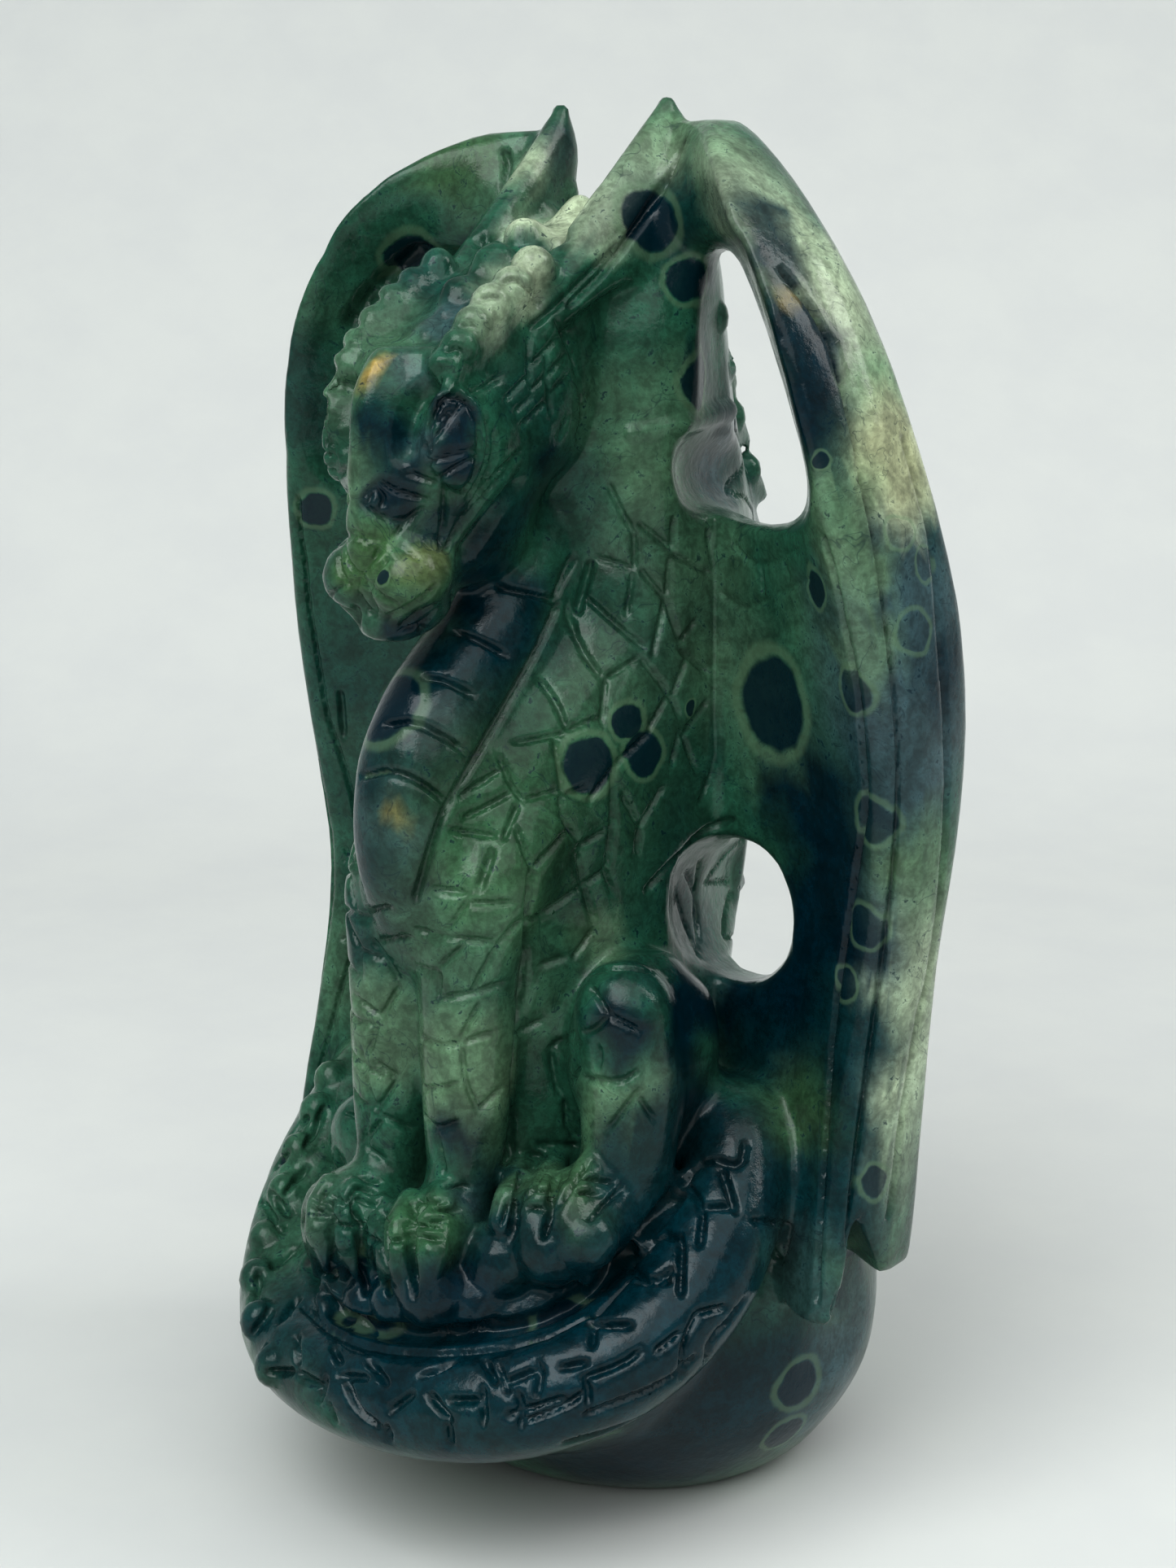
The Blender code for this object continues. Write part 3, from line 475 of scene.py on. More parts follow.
print("kinds of cut in all:", len(CUTS))

# %% [markdown]
# A carver leads the stone past the wheel. Here the wheel is led along each stroke in short steps: the eye
# looks through the step's pixel, and where that sight line lands, the wheel touches. A landing far from
# the last one has missed the form and is left out. A touch that both sides share has its twin at the
# mirrored place, where the photograph doesn't reach.

# %% Lead the wheel along the strokes
STEP = 3.0              # photo pixels between two touches of the wheel
TAPER = 0.9 * MM        # a stroke comes up to the surface over this length at both ends
SHALLOW = 0.35          # share of the depth that is left at its ends
JUMP = 2.5 * MM         # a sight line that lands this much nearer or farther has missed the form
SAME_WAY = 0.5          # least cosine between the normals of a touch and its twin
BACK_STEP = 0.3         # mm between two touches on the back
FAR_BEHIND, FORWARD = 200 * MM, Vector((0, -1, 0))


def walk(points, step=STEP):
    """Points every step along a stroke, with its corners eased."""
    p = [Vector(q) for q in points]
    if len(p) > 2:
        eased = [p[0]]
        for a, b in zip(p, p[1:]):
            eased += [a.lerp(b, 0.25), a.lerp(b, 0.75)]
        p = eased + [p[-1]]
    out = [p[0]]
    for a, b in zip(p, p[1:]):
        n = max(1, round((b - a).length / step))
        out += [a.lerp(b, (k + 1) / n) for k in range(n)]
    return out


def press(rows, tree, hits, width, depth, both):
    """Adds the touches of one stroke to rows, with their twins on the other side of the dragon."""
    hits = [h for h in hits if h[0] is not None]
    if len(hits) < 2:
        return
    middle = sorted(h[3] for h in hits)[len(hits) // 2]
    start = middle if len(hits) < 12 else hits[0][3]        # a long stroke may go far from its start
    kept = []
    for h in hits:
        if abs(h[3] - (kept[-1][3] if kept else start)) < (JUMP if kept else 4 * JUMP):
            kept.append(h)
    for h in kept:
        end = min((h[0] - kept[0][0]).length, (h[0] - kept[-1][0]).length)
        d = depth * min(1, SHALLOW + end / TAPER)
        rows.append((*h[0], *h[1], width, d))
        if both:
            near = tree.find_nearest(mirrored(h[0]), JUMP)
            if near[0] is not None and near[1].dot(mirrored(h[1])) > SAME_WAY:
                rows.append((*near[0], *near[1], width, d))


def touches(tree):
    """Where the wheels touch the stone: rows of place, outward normal, half width and depth."""
    rows = []
    for strokes, width, depth, both in CUTS:
        for stroke in strokes:
            press(rows, tree, [tree.ray_cast(EYE, sight(*q)) for q in walk(stroke)], width, depth, both)
    for strokes, width, depth in BACK_CUTS:
        for stroke in strokes:
            starts = [Vector((x * MM, FAR_BEHIND, z * MM)) for x, z in walk(stroke, BACK_STEP)]
            press(rows, tree, [tree.ray_cast(p, FORWARD) for p in starts], width, depth, True)
    return np.array(rows)


print("from the eye to the stone, mm:", round(rough_tree.ray_cast(EYE, -back)[3] / MM, 1))

# %% [markdown]
# The photograph doesn't show the back. There the wheel follows simple rules: ribs down the back of each
# wing and a row of slanting scales on either side of the spine. These strokes are in millimetres, across
# and up.

# %% The back
def rib(x, top, foot, bow):
    """A line down the back of a wing that bows outward by bow."""
    return tuple((x + bow * math.sin(math.pi * k / 8), top + (foot - top) * k / 8) for k in range(9))


SPINE = range(60, 142, 8)
SPINE_SCALES = (*(((4, z), (10, z - 5)) for z in SPINE), *(((10, z - 5), (5, z - 8)) for z in SPINE))
WING_RIBS = (rib(24, 150, 52, 6), rib(31, 146, 46, 6), rib(37, 138, 44, 4))
BACK_CUTS = [(WING_RIBS, 0.6, 0.7), (SPINE_SCALES, 0.5, 0.5)]

tree = BVHTree.FromObject(stone, bpy.context.evaluated_depsgraph_get())
TOUCHES = touches(tree)
print("touches of the wheel:", len(TOUCHES))

# %% [markdown]
# A wheel leaves a groove with sloping walls, and the polish afterwards softens the stone beside it. Every
# vertex near a touch is pushed in along its normal, most in the middle of the cut.

# %% Cut the stone
SHOULDER = 1.5          # mm: how far the softened edge reaches
SOFTEN = 0.16           # mm: how far it sinks
FACING = 0.15           # least cosine between the normals of a vertex and a touch that moves it


def places(obj):
    """Vertex places and normals as arrays."""
    n = len(obj.data.vertices)
    co, no = np.empty(n * 3), np.empty(n * 3)
    obj.data.vertices.foreach_get("co", co)
    obj.data.vertices.foreach_get("normal", no)
    return co.reshape(-1, 3), no.reshape(-1, 3)


def near_touches(co, no, reach):
    """Pairs of vertex and touch closer than reach: vertex, touch, distance in mm."""
    kd = KDTree(len(co))
    for i, c in enumerate(co):
        kd.insert(c, i)
    kd.balance()
    who, which, far = [], [], []
    for t, row in enumerate(TOUCHES):
        found = kd.find_range(row[:3], max(reach, row[6]) * MM)
        who += [f[1] for f in found]
        far += [f[2] for f in found]
        which += [t] * len(found)
    who, which, far = np.array(who), np.array(which), np.array(far) / MM
    facing = np.einsum("ij,ij->i", no[who], TOUCHES[which, 3:6]) > FACING
    return who[facing], which[facing], far[facing]


def groove(far, width):
    """Depth of a wheel cut across its width, as a share: sloping walls and a rounded floor."""
    t = np.clip(1 - far / width, 0, 1)
    return 0.35 * t + 0.65 * t * t * (3 - 2 * t)


co, no = places(stone)
who, which, far = near_touches(co, no, SHOULDER)
cut, soft = np.zeros(len(co)), np.zeros(len(co))
width, depth = TOUCHES[which, 6], TOUCHES[which, 7]
width = np.maximum(width, 1.3 * GRAIN / MM)     # a cut narrower than the grain would be lost
np.maximum.at(cut, who, depth * groove(far, width))
np.maximum.at(soft, who, SOFTEN * np.clip(1 - far / SHOULDER, 0, 1) ** 2)
co -= no * ((cut + soft) * MM)[:, None]
stone.data.vertices.foreach_set("co", co.ravel())
stone.data.update()
print("deepest cut, mm:", round(float(cut.max()), 2))

# %% [markdown]
# Flat stretches need few triangles, the cuts need many. So the stone between the cuts is thinned out
# first, by collapsing edges, and then the whole skin, which keeps it under the limit.

# %% Thin out the flat stretches
MOST, FLAT = ((194000, 78000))      # triangles in all, and between cuts
keep = np.zeros(len(co), bool)
keep[who[far < width + 0.1]] = True
loops = np.empty(len(stone.data.loops), int)
stone.data.loops.foreach_get("vertex_index", loops)
flat = ~keep[loops].reshape(-1, 4).any(axis=1)
print("triangles before:", 2 * len(flat), "of them between the cuts:", 2 * int(flat.sum()))
pick(stone)
stone.data.vertices.foreach_set("select", np.zeros(len(co), bool))
stone.data.edges.foreach_set("select", np.zeros(len(stone.data.edges), bool))
stone.data.polygons.foreach_set("select", flat)
bpy.ops.object.mode_set(mode="EDIT")
bpy.ops.mesh.select_mode(type="FACE")
bpy.ops.mesh.decimate(ratio=min(1, FLAT / (2 * int(flat.sum()))))
bpy.ops.mesh.select_all(action="SELECT")
bpy.ops.mesh.quads_convert_to_tris()
bpy.ops.object.mode_set(mode="OBJECT")
print("after the first pass:", len(stone.data.polygons))
apply(stone, "DECIMATE", ratio=min(1, MOST / len(stone.data.polygons)))
bpy.ops.object.shade_smooth()
print("stone:", len(stone.data.polygons), "triangles")

# %% [markdown]
# The stone's colour changes from place to place: almost black behind the lower opening, ochre where iron
# has stained it. Some fields are painted light: the sage on top is the stone's own sage with a painted
# highlight, the grey-green on the chest and the pale band along the crown are painted sheen, and dark
# fields put painted shadow under the jaw, in the recess beside the hind leg and on the wall inside the
# upper opening. These soft fields are worked out once and kept as a colour on every vertex, beside a mark
# for the floors of the cuts, darkened by paste and painted shade, and one for what the camera can't
# see. The fine grain and the round orbs come from the material.

# %% Colour fields and painted light
def tint(r, g, b):
    """Linear colour from the 0 to 255 values of a colour picker."""
    return tuple(v / 255 / 12.92 if v <= 10 else ((v / 255 + 0.055) / 1.055) ** 2.4 for v in (r, g, b))


GREEN, DEEP, SAGE, PALE = tint(42, 88, 70), tint(8, 50, 54), tint(104, 132, 104), tint(180, 193, 166)
SLATE, NIGHT, OCHRE, OLIVE = tint(60, 83, 88), tint(0, 34, 46), tint(156, 136, 78), tint(66, 98, 62)
INK = tint(4, 46, 55)
STIR, STIR_SIZE = 2.2, 9        # mm: how far a field's edge wanders, and over what length
CLOUD, BACK_CLOUD = 34, 30      # mm: size of the large clouds, all over and on the back
TONE_AND_LIGHT_FIELDS = [  # photo pixel, radius in mm, colour, strength
    # painted highlight: PALE at (900, 215) and SAGE at (850, 150) lighten the top of the near wing
    ((900, 215), 8, PALE, 0.5), ((850, 150), 6, SAGE, 0.6), ((1000, 320), 8, PALE, 0.6),
    ((1060, 430), 8, PALE, 0.55), ((1100, 500), 7, SAGE, 0.8), ((1105, 570), 8, PALE, 0.8),
    ((1100, 560), 6, OCHRE, 0.3), ((1110, 760), 11, SLATE, 0.9), ((1130, 900), 12, SLATE, 0.9),
    ((1125, 1100), 8, SAGE, 0.7), ((1110, 1250), 12, PALE, 0.6), ((1090, 1380), 9, PALE, 0.5),
    ((940, 262), 3.5, INK, 0.8), ((958, 315), 3.5, NIGHT, 0.8), ((985, 400), 4.5, NIGHT, 0.85),
    ((1000, 480), 5, NIGHT, 0.9), ((1010, 560), 3.5, INK, 0.8), ((968, 370), 1.8, OCHRE, 0.6),
    ((1038, 620), 6, SAGE, 0.6), ((1160, 830), 5, NIGHT, 0.7), ((870, 580), 5, SLATE, 0.8),
    # painted shade: DEEP at (864, 440) and (868, 360) darkens the wall inside the upper opening
    ((885, 630), 4, GREEN, 0.7), ((864, 440), 3.5, DEEP, 0.8), ((868, 360), 3, DEEP, 0.8),
    ((430, 420), 9, SAGE, 0.4), ((820, 640), 9, SAGE, 0.3), ((880, 760), 8, SAGE, 0.3),
    # painted sheen: PALE at (690, 275), (640, 322) and (600, 365), and at (735, 265) below, lighten the
    # crown and the channel between crest and brow
    ((690, 275), 6, PALE, 0.95), ((640, 322), 4.5, PALE, 0.7), ((600, 365), 3.5, PALE, 0.5),
    # painted highlight on the horns: PALE at (780, 195) and (652, 195), SAGE at (810, 150); SAGE at (880,
    # 170) below lightens the wing top
    ((780, 195), 5, PALE, 0.35), ((810, 150), 4, SAGE, 0.5), ((652, 195), 4, PALE, 0.6),
    ((692, 180), 3.5, INK, 0.6), ((735, 265), 5, PALE, 0.5), ((880, 170), 6, SAGE, 0.6),
    ((1045, 700), 5, SAGE, 0.7), ((1050, 800), 5, SAGE, 0.6), ((1072, 900), 4, SLATE, 0.6),
    ((1060, 960), 5, DEEP, 0.6), ((1030, 1130), 9, SLATE, 0.8), ((1010, 1300), 9, SLATE, 0.7),
    ((1000, 1450), 9, SLATE, 0.7), ((980, 1570), 7, SLATE, 0.6), ((960, 985), 5, NIGHT, 0.85),
    ((1010, 975), 6, NIGHT, 0.85), ((1015, 1060), 8, NIGHT, 0.95), ((1010, 1150), 8, NIGHT, 0.95),
    # painted shade: NIGHT at (870, 1225) darkens the recess beside the hind leg
    ((985, 1225), 8, NIGHT, 0.95), ((920, 1250), 7, NIGHT, 0.9), ((870, 1225), 5, NIGHT, 0.85),
    ((1030, 1270), 7, DEEP, 0.9), ((1010, 1360), 7, DEEP, 0.9), ((1000, 1450), 7, DEEP, 0.9),
    # painted shade: NIGHT at (842, 1240) and, on the next line, (835, 1330) darken the recess beside the
    # hind leg
    ((930, 1300), 6, DEEP, 0.6), ((990, 1360), 6, OLIVE, 0.6), ((842, 1240), 5, NIGHT, 0.9),
    ((835, 1330), 6, NIGHT, 0.8), ((560, 850), 9, INK, 0.9), ((480, 930), 9, INK, 0.85),
    ((450, 1030), 8, INK, 0.9), ((620, 760), 7, INK, 0.85), ((470, 1090), 6, INK, 0.8),
    # painted sheen: SLATE at (540, 900) and (480, 1000) puts a grey reflection on the dark chest column
    ((430, 1160), 6, DEEP, 0.6), ((540, 900), 3, SLATE, 0.7), ((480, 1000), 4, SLATE, 0.5),
    ((463, 462), 1.8, OCHRE, 0.9), ((440, 690), 4, OLIVE, 0.8), ((525, 690), 3, OCHRE, 0.3),
    ((487, 1000), 1.6, OCHRE, 0.5), ((505, 450), 2.5, SLATE, 0.5), ((550, 395), 4, SLATE, 0.6),
    ((470, 530), 3.5, INK, 0.9), ((520, 560), 3, SLATE, 0.7), ((515, 765), 2.4, NIGHT, 0.9),
    # painted shadow under the jaw: NIGHT at (590, 690) and (570, 730), and at (625, 650) on the next line
    ((485, 780), 2, NIGHT, 0.8), ((590, 690), 4, NIGHT, 0.8), ((570, 730), 4, NIGHT, 0.7),
    ((625, 650), 3, NIGHT, 0.7), ((680, 564), 2.2, NIGHT, 0.8), ((545, 640), 3, NIGHT, 0.7),
    ((500, 720), 5, OLIVE, 0.5), ((430, 590), 4, SAGE, 0.6), ((560, 1150), 9, SAGE, 0.35),
    ((560, 1320), 8, SAGE, 0.7), ((590, 1000), 12, OLIVE, 0.35), ((445, 1270), 8, SAGE, 0.6),
    ((760, 1370), 6, SAGE, 0.6), ((700, 1480), 9, OLIVE, 0.4), ((756, 1262), 4.2, NIGHT, 0.85),
    ((560, 1400), 4, NIGHT, 0.8), ((600, 1470), 4, DEEP, 0.7), ((570, 1480), 3, SLATE, 0.6),
    ((450, 1605), 7, INK, 0.9), ((540, 1620), 7, INK, 0.9), ((630, 1600), 9, NIGHT, 0.9),
    ((700, 1580), 9, INK, 0.9), ((520, 1500), 5, OLIVE, 0.5), ((640, 1540), 6, DEEP, 0.8),
    # painted shade: NIGHT at (860, 1400) darkens the recess beside the hind leg
    ((860, 1400), 8, NIGHT, 0.8), ((820, 1530), 9, INK, 0.9), ((900, 1480), 7, INK, 0.8),
    ((870, 1600), 10, INK, 0.9), ((760, 1660), 10, INK, 0.9), ((660, 1700), 10, INK, 0.9),
    ((560, 1720), 10, INK, 0.9), ((460, 1700), 10, INK, 0.85), ((360, 1640), 9, INK, 0.7),
    ((400, 1760), 8, DEEP, 0.8), ((330, 1470), 6, GREEN, 0.5), ((560, 1780), 8, DEEP, 0.7),
    ((860, 1760), 14, NIGHT, 0.85), ((740, 1800), 9, NIGHT, 0.8), ((960, 1700), 9, INK, 0.8),
    ((1020, 1720), 8, SLATE, 0.6), ((1040, 1640), 8, SLATE, 0.7), ((1060, 1500), 6, DEEP, 0.6),
    # painted shade: DEEP at (800, 1420) darkens the recess beside the hind leg
    ((800, 1420), 7, DEEP, 0.8), ((740, 1150), 4, SAGE, 0.6), ((400, 900), 12, DEEP, 0.35),
    ((480, 800), 12, DEEP, 0.4), ((560, 190), 5, OLIVE, 0.6), ((550, 180), 2.5, OCHRE, 0.4),
    ((450, 300), 9, GREEN, 0.6), ((562, 512), 3.4, NIGHT, 0.9), ((560, 560), 3.6, NIGHT, 0.9),
    # painted shadow under the jaw: DEEP at (620, 640)
    ((490, 600), 3, NIGHT, 0.8), ((470, 620), 3, NIGHT, 0.8), ((620, 640), 6, DEEP, 0.6),
    ((700, 1000), 14, OLIVE, 0.25), ((850, 1150), 7, SLATE, 0.5), ((800, 290), 4, NIGHT, 0.7),
    ((830, 250), 4, DEEP, 0.6),
]


def sway(p, size, seed):
    """A smooth made-up field between -1 and 1 that changes over about size mm."""
    out = np.zeros(len(p))
    for k in range(5):
        a = np.array([math.sin(seed + 2.1 * k), math.cos(1.3 * seed + k), math.sin(2.7 * seed + 1.9 * k)])
        out += np.sin(p @ (a / np.linalg.norm(a)) * (6.28 / size) * (0.7 + 0.25 * k) + seed * 3 + k * 1.7)
    return out / 5


def paint(p):
    """Colour of the stone at places p, in mm, with the painted highlights, sheen and shade of some fields.
    """
    q = p + STIR * np.stack([sway(p, STIR_SIZE, seed) for seed in (1, 2, 3)], 1)
    colour = np.tile(np.array(GREEN), (len(p), 1))
    for place, amount, seed in ((DEEP, 0.55, 4), (SAGE, 0.35, 5)):
        w = amount * np.clip(sway(q, CLOUD, seed) * 2.2 - 0.1, 0, 1)[:, None]
        colour = colour * (1 - w) + np.array(place) * w
    behind = np.clip(q[:, 1] / 8, 0, 1)     # the back of the stone has large dark clouds of its own
    w = (0.85 * np.clip(sway(q, BACK_CLOUD, 6) * 3 - 0.3, 0, 1) * behind)[:, None]
    colour = colour * (1 - w) + np.array(NIGHT) * w
    for (x, y), radius, shade, strength in TONE_AND_LIGHT_FIELDS:
        hit = tree.ray_cast(EYE, sight(x, y))
        if hit[0] is None:
            continue
        d = np.linalg.norm(q - np.array(hit[0]) / MM, axis=1) / radius
        w = strength * np.clip(1.35 - d, 0, 0.7)[:, None] / 0.7
        w = w * w * (3 - 2 * w) if strength > 0.5 else w
        colour = colour * (1 - w) + np.array(shade) * w
    return colour


# a wide hollow gets neither the dark paste nor the painted shade of the narrow cuts
WIDE_WHEEL = 1.5        # mm: a hollow this wide was polished to its floor, so it holds no paste
co, no = places(stone)
colour = paint(co / MM)
field = stone.data.attributes.new("field", "FLOAT_COLOR", "POINT")
field.data.foreach_set("color", np.column_stack([colour, np.ones(len(co))]).ravel())

who, which, far = near_touches(co, no, 1.0)
narrow = TOUCHES[which, 6] < WIDE_WHEEL
who, which, far = who[narrow], which[narrow], far[narrow]
cut = np.zeros(len(co))
np.maximum.at(cut, who, groove(far, TOUCHES[which, 6] * 1.15) * np.clip(TOUCHES[which, 7] / 0.5, 0, 1))
unseen = np.ones(len(co))
for i, (c, n) in enumerate(zip(co, no)):
    way = EYE - Vector(c)
    if way.dot(Vector(n)) > 0 and tree.ray_cast(Vector(c) + way * 0.004, way)[0] is None:
        unseen[i] = 0
veil = stone.data.attributes.new("unseen", "FLOAT", "POINT")
veil.data.foreach_set("value", unseen)
mark = stone.data.attributes.new("cut", "FLOAT", "POINT")
mark.data.foreach_set("value", cut)
print("colour fields:", len(TONE_AND_LIGHT_FIELDS))

# %% [markdown]
# A material is a tree of nodes. These short functions add one node each and join it to what is there, so
# that the cells after this one read like sums.

# %% Node helpers
def socket(tree, label, kind, way, value=None):
    """A named input or output of a node group."""
    s = tree.interface.new_socket(label, in_out=way, socket_type="NodeSocket" + kind)
    if value is not None:
        s.default_value = value
    return s


def add(tree, kind, inputs=(), **settings):
    """One node, its settings, and what goes into its sockets: a value or another node's output."""
    n = tree.nodes.new("ShaderNode" + kind)
    for key, value in settings.items():
        setattr(n, key, value)
    for key, value in dict(inputs).items():
        if isinstance(value, bpy.types.NodeSocket):
            tree.links.new(value, n.inputs[key])
        else:
            n.inputs[key].default_value = value
    return n


def math_node(tree, operation, a, b=0.0):
    """One step of arithmetic on a and b."""
    return add(tree, "Math", {0: a, 1: b}, operation=operation).outputs[0]


def ramp(tree, value, low, high, out_low=0.0, out_high=1.0):
    """A smooth step of value from low to high."""
    limits = {0: value, 1: low, 2: high, 3: out_low, 4: out_high}
    return add(tree, "MapRange", limits, interpolation_type="SMOOTHSTEP").outputs[0]


def mix(tree, factor, a, b, kind="MIX"):
    """Colour a turned into colour b by factor."""
    n = add(tree, "Mix", data_type="RGBA", blend_type=kind)
    for slot, value in ((0, factor), (6, a), (7, b)):
        if isinstance(value, bpy.types.NodeSocket):
            tree.links.new(value, n.inputs[slot])
        else:
            n.inputs[slot].default_value = value
    return n.outputs[2]


def noise(tree, vector, scale, detail, roughness, distortion=0.0):
    """A noise between 0 and 1 that changes over about 1 / scale metres."""
    n = add(tree, "TexNoise", {"Vector": vector, "Scale": scale, "Detail": detail, "Roughness": roughness,
                               "Distortion": distortion})
    return n.outputs["Fac"]


# %% [markdown]
# Kambaba jasper is known for its orbs: round bodies of almost black green with a thin paler ring. An orb
# runs through the stone as a ball, so it is a ball in the material too, measured from its middle in
# object coordinates. One node group makes one orb.

# %% The orb
orb = bpy.data.node_groups.new("Orb", "ShaderNodeTree")
socket(orb, "Vector", "Vector", "INPUT")
socket(orb, "Middle", "Vector", "INPUT", (0, 0, 0))
socket(orb, "Radius", "Float", "INPUT", 0.004)
socket(orb, "Core", "Float", "OUTPUT")
socket(orb, "Ring", "Float", "OUTPUT")
a, z = orb.nodes.new("NodeGroupInput"), orb.nodes.new("NodeGroupOutput")
ends = {0: a.outputs["Vector"], 1: a.outputs["Middle"]}
reach = add(orb, "VectorMath", ends, operation="DISTANCE").outputs["Value"]
share = math_node(orb, "DIVIDE", reach, a.outputs["Radius"])
core = ramp(orb, share, 1.04, 0.92)
ring = math_node(orb, "MULTIPLY", ramp(orb, share, 1.0, 1.1), ramp(orb, share, 1.42, 1.2))
orb.links.new(core, z.inputs["Core"])
orb.links.new(ring, z.inputs["Ring"])
print("orb group:", len(orb.nodes), "nodes")

# %% [markdown]
# The ground between the orbs is mottled at three sizes: clouds, blotches and specks, with thin dark
# threads where the stone once cracked and healed.

# %% The mottled ground
ground = bpy.data.node_groups.new("Jasper ground", "ShaderNodeTree")
socket(ground, "Vector", "Vector", "INPUT")
socket(ground, "Field", "Color", "INPUT", (0.1, 0.2, 0.1, 1))
socket(ground, "Colour", "Color", "OUTPUT")
a, z = ground.nodes.new("NodeGroupInput"), ground.nodes.new("NodeGroupOutput")
where = a.outputs["Vector"]
clouds = noise(ground, where, 130, 6, 0.62, 0.6)
blotches = noise(ground, where, 420, 5, 0.65, 0.3)
specks = noise(ground, where, 1300, 3, 0.6)
light = ramp(ground, clouds, 0.36, 0.66, 0.8, 1.2)
light = math_node(ground, "MULTIPLY", light, ramp(ground, blotches, 0.38, 0.62, 0.78, 1.16))
light = math_node(ground, "MULTIPLY", light, ramp(ground, specks, 0.35, 0.65, 0.84, 1.14))
light = add(ground, "CombineXYZ", {0: light, 1: light, 2: light}).outputs[0]
shade = mix(ground, 1.0, a.outputs["Field"], light, "MULTIPLY")
dark = math_node(ground, "MULTIPLY", ramp(ground, specks, 0.57, 0.66), ramp(ground, blotches, 0.48, 0.6))
shade = mix(ground, math_node(ground, "MULTIPLY", dark, 0.75), shade, (*NIGHT, 1))
threads = noise(ground, where, 95, 3, 0.5, 1.4)
line = ramp(ground, math_node(ground, "ABSOLUTE", math_node(ground, "SUBTRACT", threads, 0.52)), 0.006, 0.0)
shade = mix(ground, math_node(ground, "MULTIPLY", line, 0.45), shade, (*NIGHT, 1))
ground.links.new(shade, z.inputs["Colour"])
print("ground group:", len(ground.nodes), "nodes")

# %% [markdown]
# The orbs of the visible side sit where the photograph shows them. The space that all of them are
# measured in is stirred a little by a noise, so that none is perfectly round.

# %% The jasper
ORBS = [  # photo pixel, radius in mm, depth of the middle in mm, and the strength of a faint one
    ((955, 865), 5.6, 1.0), ((1005, 720), 2.0, 0.5), ((858, 470), 3.0, 0.5), ((792, 272), 3.6, 1.0),
    ((845, 345), 2.4, 0.5), ((480, 870), 4.2, 1.0), ((505, 315), 3.2, 0.5),
    ((1052, 850), 2.4, 0.5, 0.7), ((1075, 1010), 2.4, 0.5, 0.7), ((722, 938), 3.2, 0.5),
    ((790, 925), 2.6, 0.5), ((772, 885), 2.2, 0.5), ((980, 1700), 3.2, 0.5), ((962, 1762), 2.6, 0.5),
    ((1072, 1450), 2.0, 0.5, 0.8), ((388, 622), 2.4, 0.8), ((470, 711), 0.9, 0.2),
    ((846, 870), 0.9, 0.3), ((1012, 563), 0.9, 0.2), ((1065, 1135), 2.2, 0.6, 0.6),
    ((1042, 1210), 1.8, 0.5, 0.6), ((1103, 655), 1.7, 0.4, 0.2), ((1135, 695), 1.6, 0.4, 0.2),
    ((1122, 775), 2.2, 0.4, 0.2),
]
jasper = bpy.data.materials.new("Polished kambaba jasper")
jasper.use_nodes = True
t = jasper.node_tree
surface = t.nodes["Principled BSDF"]
coords = add(t, "TexCoord").outputs["Object"]
stir = add(t, "TexNoise", {"Vector": coords, "Scale": 160.0, "Detail": 3.0}).outputs["Color"]
stir = add(t, "VectorMath", {0: stir, 1: (0.5, 0.5, 0.5)}, operation="SUBTRACT").outputs[0]
stir = add(t, "VectorMath", {0: stir, 3: 0.0028}, operation="SCALE").outputs[0]
warped = add(t, "VectorMath", {0: coords, 1: stir}, operation="ADD").outputs[0]
field = add(t, "Attribute", attribute_name="field").outputs["Color"]
body = add(t, "Group", node_tree=ground)
t.links.new(warped, body.inputs["Vector"])
t.links.new(field, body.inputs["Field"])
core, ring = 0.0, 0.0
for (x, y), radius, sunk, *soft in ORBS:
    ray = sight(x, y)
    hit = tree.ray_cast(EYE, ray)
    if hit[0] is None:
        continue
    one = add(t, "Group", node_tree=orb)
    t.links.new(warped, one.inputs["Vector"])
    one.inputs["Middle"].default_value = hit[0] + ray * sunk * MM
    one.inputs["Radius"].default_value = radius * MM
    core = math_node(t, "MAXIMUM", core, math_node(t, "MULTIPLY", one.outputs["Core"], *(soft or (1.0,))))
    ring = math_node(t, "MAXIMUM", ring, one.outputs["Ring"])
print("orbs placed:", len(ORBS))

# %% [markdown]
# On the sides that the photograph doesn't show, a cell pattern scatters other orbs of the same sizes. The
# mark for what the camera can't see keeps them off the visible side.

# %% Orbs of the hidden sides
cells = add(t, "TexVoronoi", {"Vector": warped, "Scale": 75.0, "Randomness": 0.9}, feature="F1")
chance = add(t, "SeparateColor", {0: cells.outputs["Color"]}).outputs[0]
size = ramp(t, chance, 0.4, 1.0, 0.0, 0.4)
share = math_node(t, "DIVIDE", cells.outputs["Distance"], math_node(t, "MAXIMUM", size, 0.02))
hidden = add(t, "Attribute", attribute_name="unseen").outputs["Fac"]
wild_core = math_node(t, "MULTIPLY", ramp(t, share, 1.04, 0.9), hidden)
wild_ring = math_node(t, "MULTIPLY", ramp(t, share, 1.0, 1.1), ramp(t, share, 1.4, 1.2))
wild_ring = math_node(t, "MULTIPLY", wild_ring, hidden)
core = math_node(t, "MAXIMUM", core, wild_core)
ring = math_node(t, "MAXIMUM", ring, wild_ring)
print("material:", len(t.nodes), "nodes")

# %% [markdown]
# The polish is high on the rounded stone and never reaches the floor of a cut, which stays rough and
# holds dark polishing paste. Its dark colour is also painted shade, for the shadow in a narrow groove.

# %% Polish
shade = mix(t, math_node(t, "MULTIPLY", ring, 0.4), body.outputs["Colour"], (*SAGE, 1))
shade = mix(t, math_node(t, "MULTIPLY", core, 0.9), shade, (*NIGHT, 1))
cut = add(t, "Attribute", attribute_name="cut").outputs["Fac"]
paste_and_shade = ramp(t, cut, 0.12, 0.6, 0.0, 0.88)
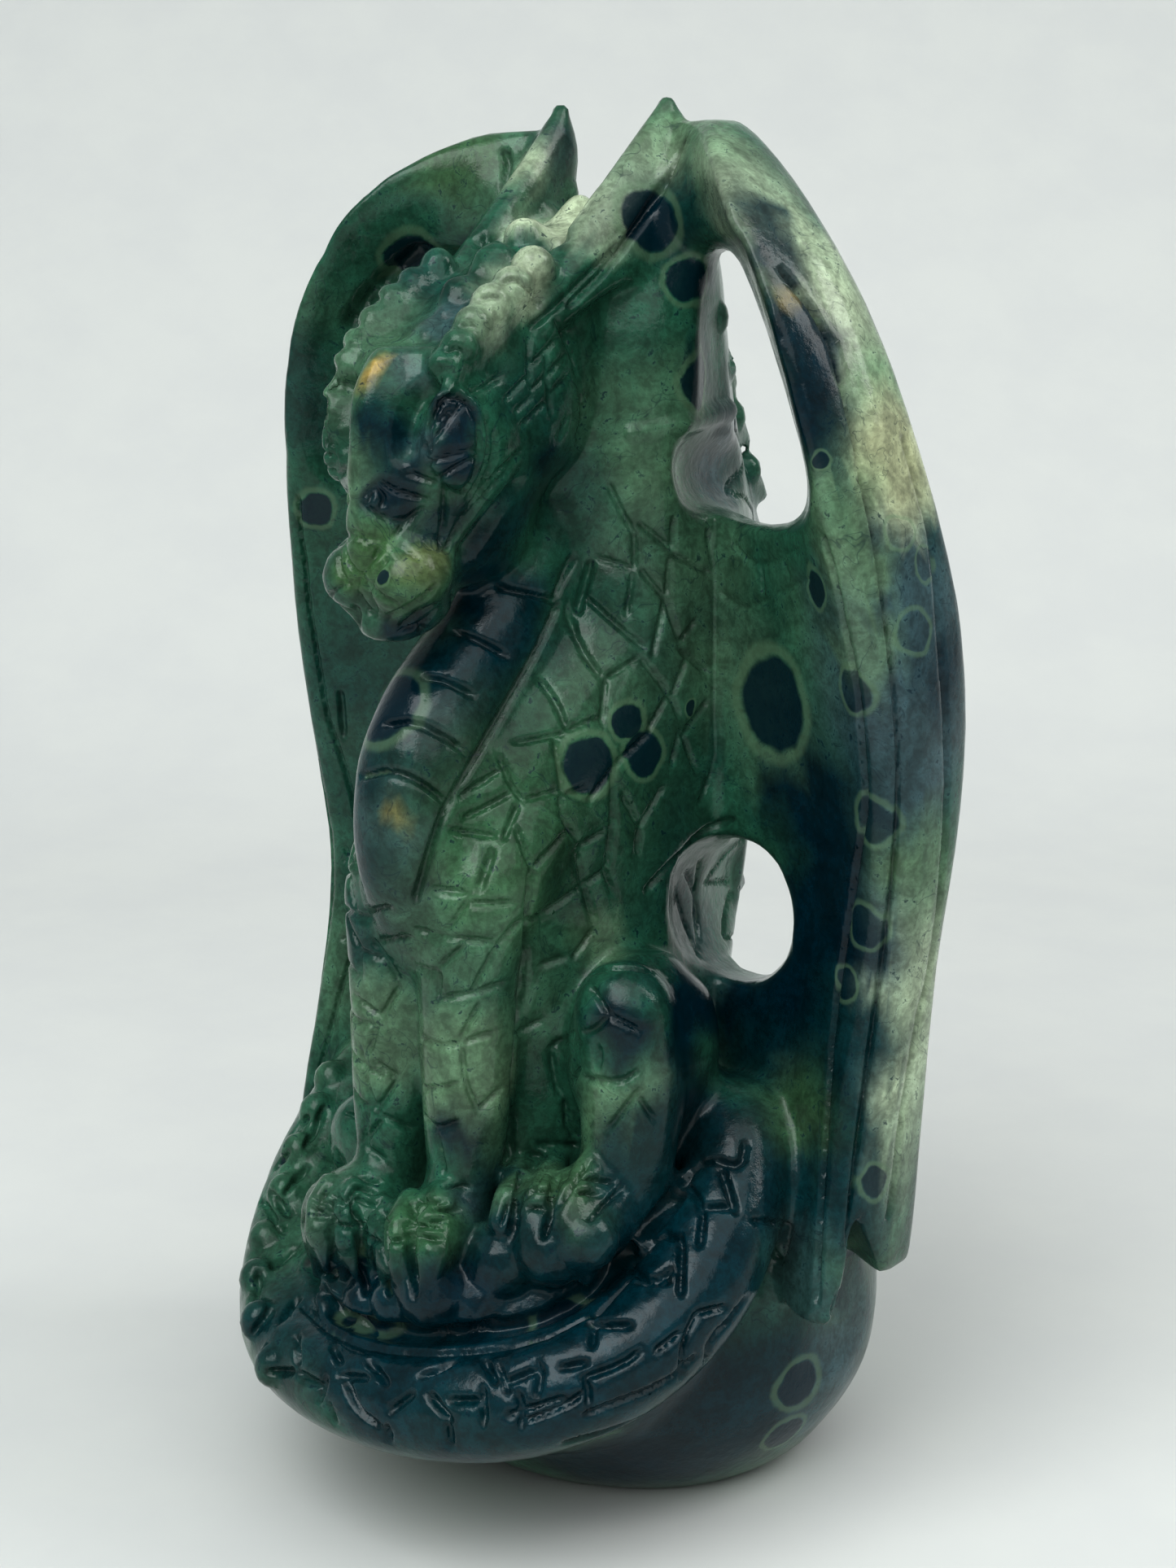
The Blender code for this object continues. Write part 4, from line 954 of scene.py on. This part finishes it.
# dark paste in the floors of the narrow cuts, also painted shade for the shadow in the groove
shade = mix(t, paste_and_shade, shade, (*tint(6, 20, 22), 1))
t.links.new(shade, surface.inputs["Base Color"])
wear = noise(t, coords, 240, 4, 0.6)
rough = math_node(t, "ADD", ramp(t, wear, 0.35, 0.7, 0.12, 0.24), math_node(t, "MULTIPLY", paste_and_shade, 0.6))
t.links.new(rough, surface.inputs["Roughness"])
surface.inputs["IOR"].default_value = 1.54
surface.inputs["Specular IOR Level"].default_value = 0.3
waves = math_node(t, "MULTIPLY", noise(t, coords, 150, 2, 0.5), 2.0)
grain = math_node(t, "ADD", noise(t, coords, 900, 4, 0.6), waves)
bump = add(t, "Bump", {"Height": grain, "Strength": 0.5, "Distance": 0.00014})
t.links.new(bump.outputs[0], surface.inputs["Normal"])
stone.data.materials.append(jasper)
print("polished:", jasper.name)

# %% [markdown]
# The carving stands on pale paper that curves up behind it, so that no edge shows between floor and
# background. The paper is a fine grid, raised vertex by vertex along a curve that starts flat.

# %% Stage
PAPER_HALF, RISE_FROM, RISE_OVER, RISE = 1.6, 0.30, 0.55, 1.8     # metres, and the slope far back
bpy.ops.object.select_all(action="DESELECT")
bpy.ops.mesh.primitive_grid_add(x_subdivisions=60, y_subdivisions=60, size=2 * PAPER_HALF,
                                location=(0, 0, 0))
paper = bpy.context.object
paper.name = "paper"
away = Vector((-back.x, -back.y, 0)).normalized()
for v in paper.data.vertices:
    beyond = max(0.0, v.co.dot(away) - RISE_FROM)
    v.co.z = RISE * beyond * beyond / (RISE_OVER + beyond)
bpy.ops.object.shade_smooth()
sheet = bpy.data.materials.new("Pale paper")
sheet.use_nodes = True
s = sheet.node_tree
soft = s.nodes["Principled BSDF"]
flecks = ramp(s, noise(s, add(s, "TexCoord").outputs["Object"], 30, 5, 0.6), 0.3, 0.7)
tone = mix(s, flecks, (*tint(209, 211, 210), 1), (*tint(212, 214, 212), 1))
s.links.new(tone, soft.inputs["Base Color"])
soft.inputs["Roughness"].default_value = 0.75
paper.data.materials.append(sheet)
print("paper:", 2 * PAPER_HALF, "m wide")

# %% [markdown]
# A narrow lamp at the upper right gives the highlights, a large one above the camera lights the floor,
# and one from the left fills the shadows. The room itself is pale and gives the rest.

# %% Light
right = TURN @ Vector((1, 0, 0))
up = Vector((0, 0, 1))


def softbox(name, direction, distance, width, height, watts, colour):
    """A rectangular area light that looks at the carving."""
    at = AIM + direction.normalized() * distance
    bpy.ops.object.light_add(type="AREA", location=at)
    lamp = bpy.context.object
    lamp.name = name
    lamp.rotation_mode = "QUATERNION"
    lamp.rotation_quaternion = (AIM - at).to_track_quat("-Z", "Y")
    lamp.data.shape, lamp.data.size, lamp.data.size_y = "RECTANGLE", width, height
    lamp.data.energy, lamp.data.color = watts, colour
    return lamp


lamps = [softbox("window", right * 1.0 + up * 0.8 + back * 0.1, 1.0, 0.35, 0.6, 3.0, (1, 0.99, 0.98)),
         softbox("overhead", up * 1.0 + back * 0.9, 1.0, 1.5, 1.2, 8.5, (0.99, 1, 0.99)),
         softbox("fill", -right * 0.55 + up * 0.9 + back * 0.8, 1.1, 0.8, 0.8, 7.0, (0.98, 0.995, 1))]
world = bpy.data.worlds.new("room")
bpy.context.scene.world = world
world.use_nodes = True
walls = world.node_tree.nodes["Background"]
walls.inputs["Color"].default_value = (*tint(203, 208, 208), 1)
walls.inputs["Strength"].default_value = 0.68
bpy.context.scene.view_settings.view_transform = "Standard"
bpy.context.scene.view_settings.gamma = 0.8
print("lamps:", [lamp.name for lamp in lamps])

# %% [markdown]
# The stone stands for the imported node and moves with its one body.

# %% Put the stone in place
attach(stone, "root")
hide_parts("dragon_carving")
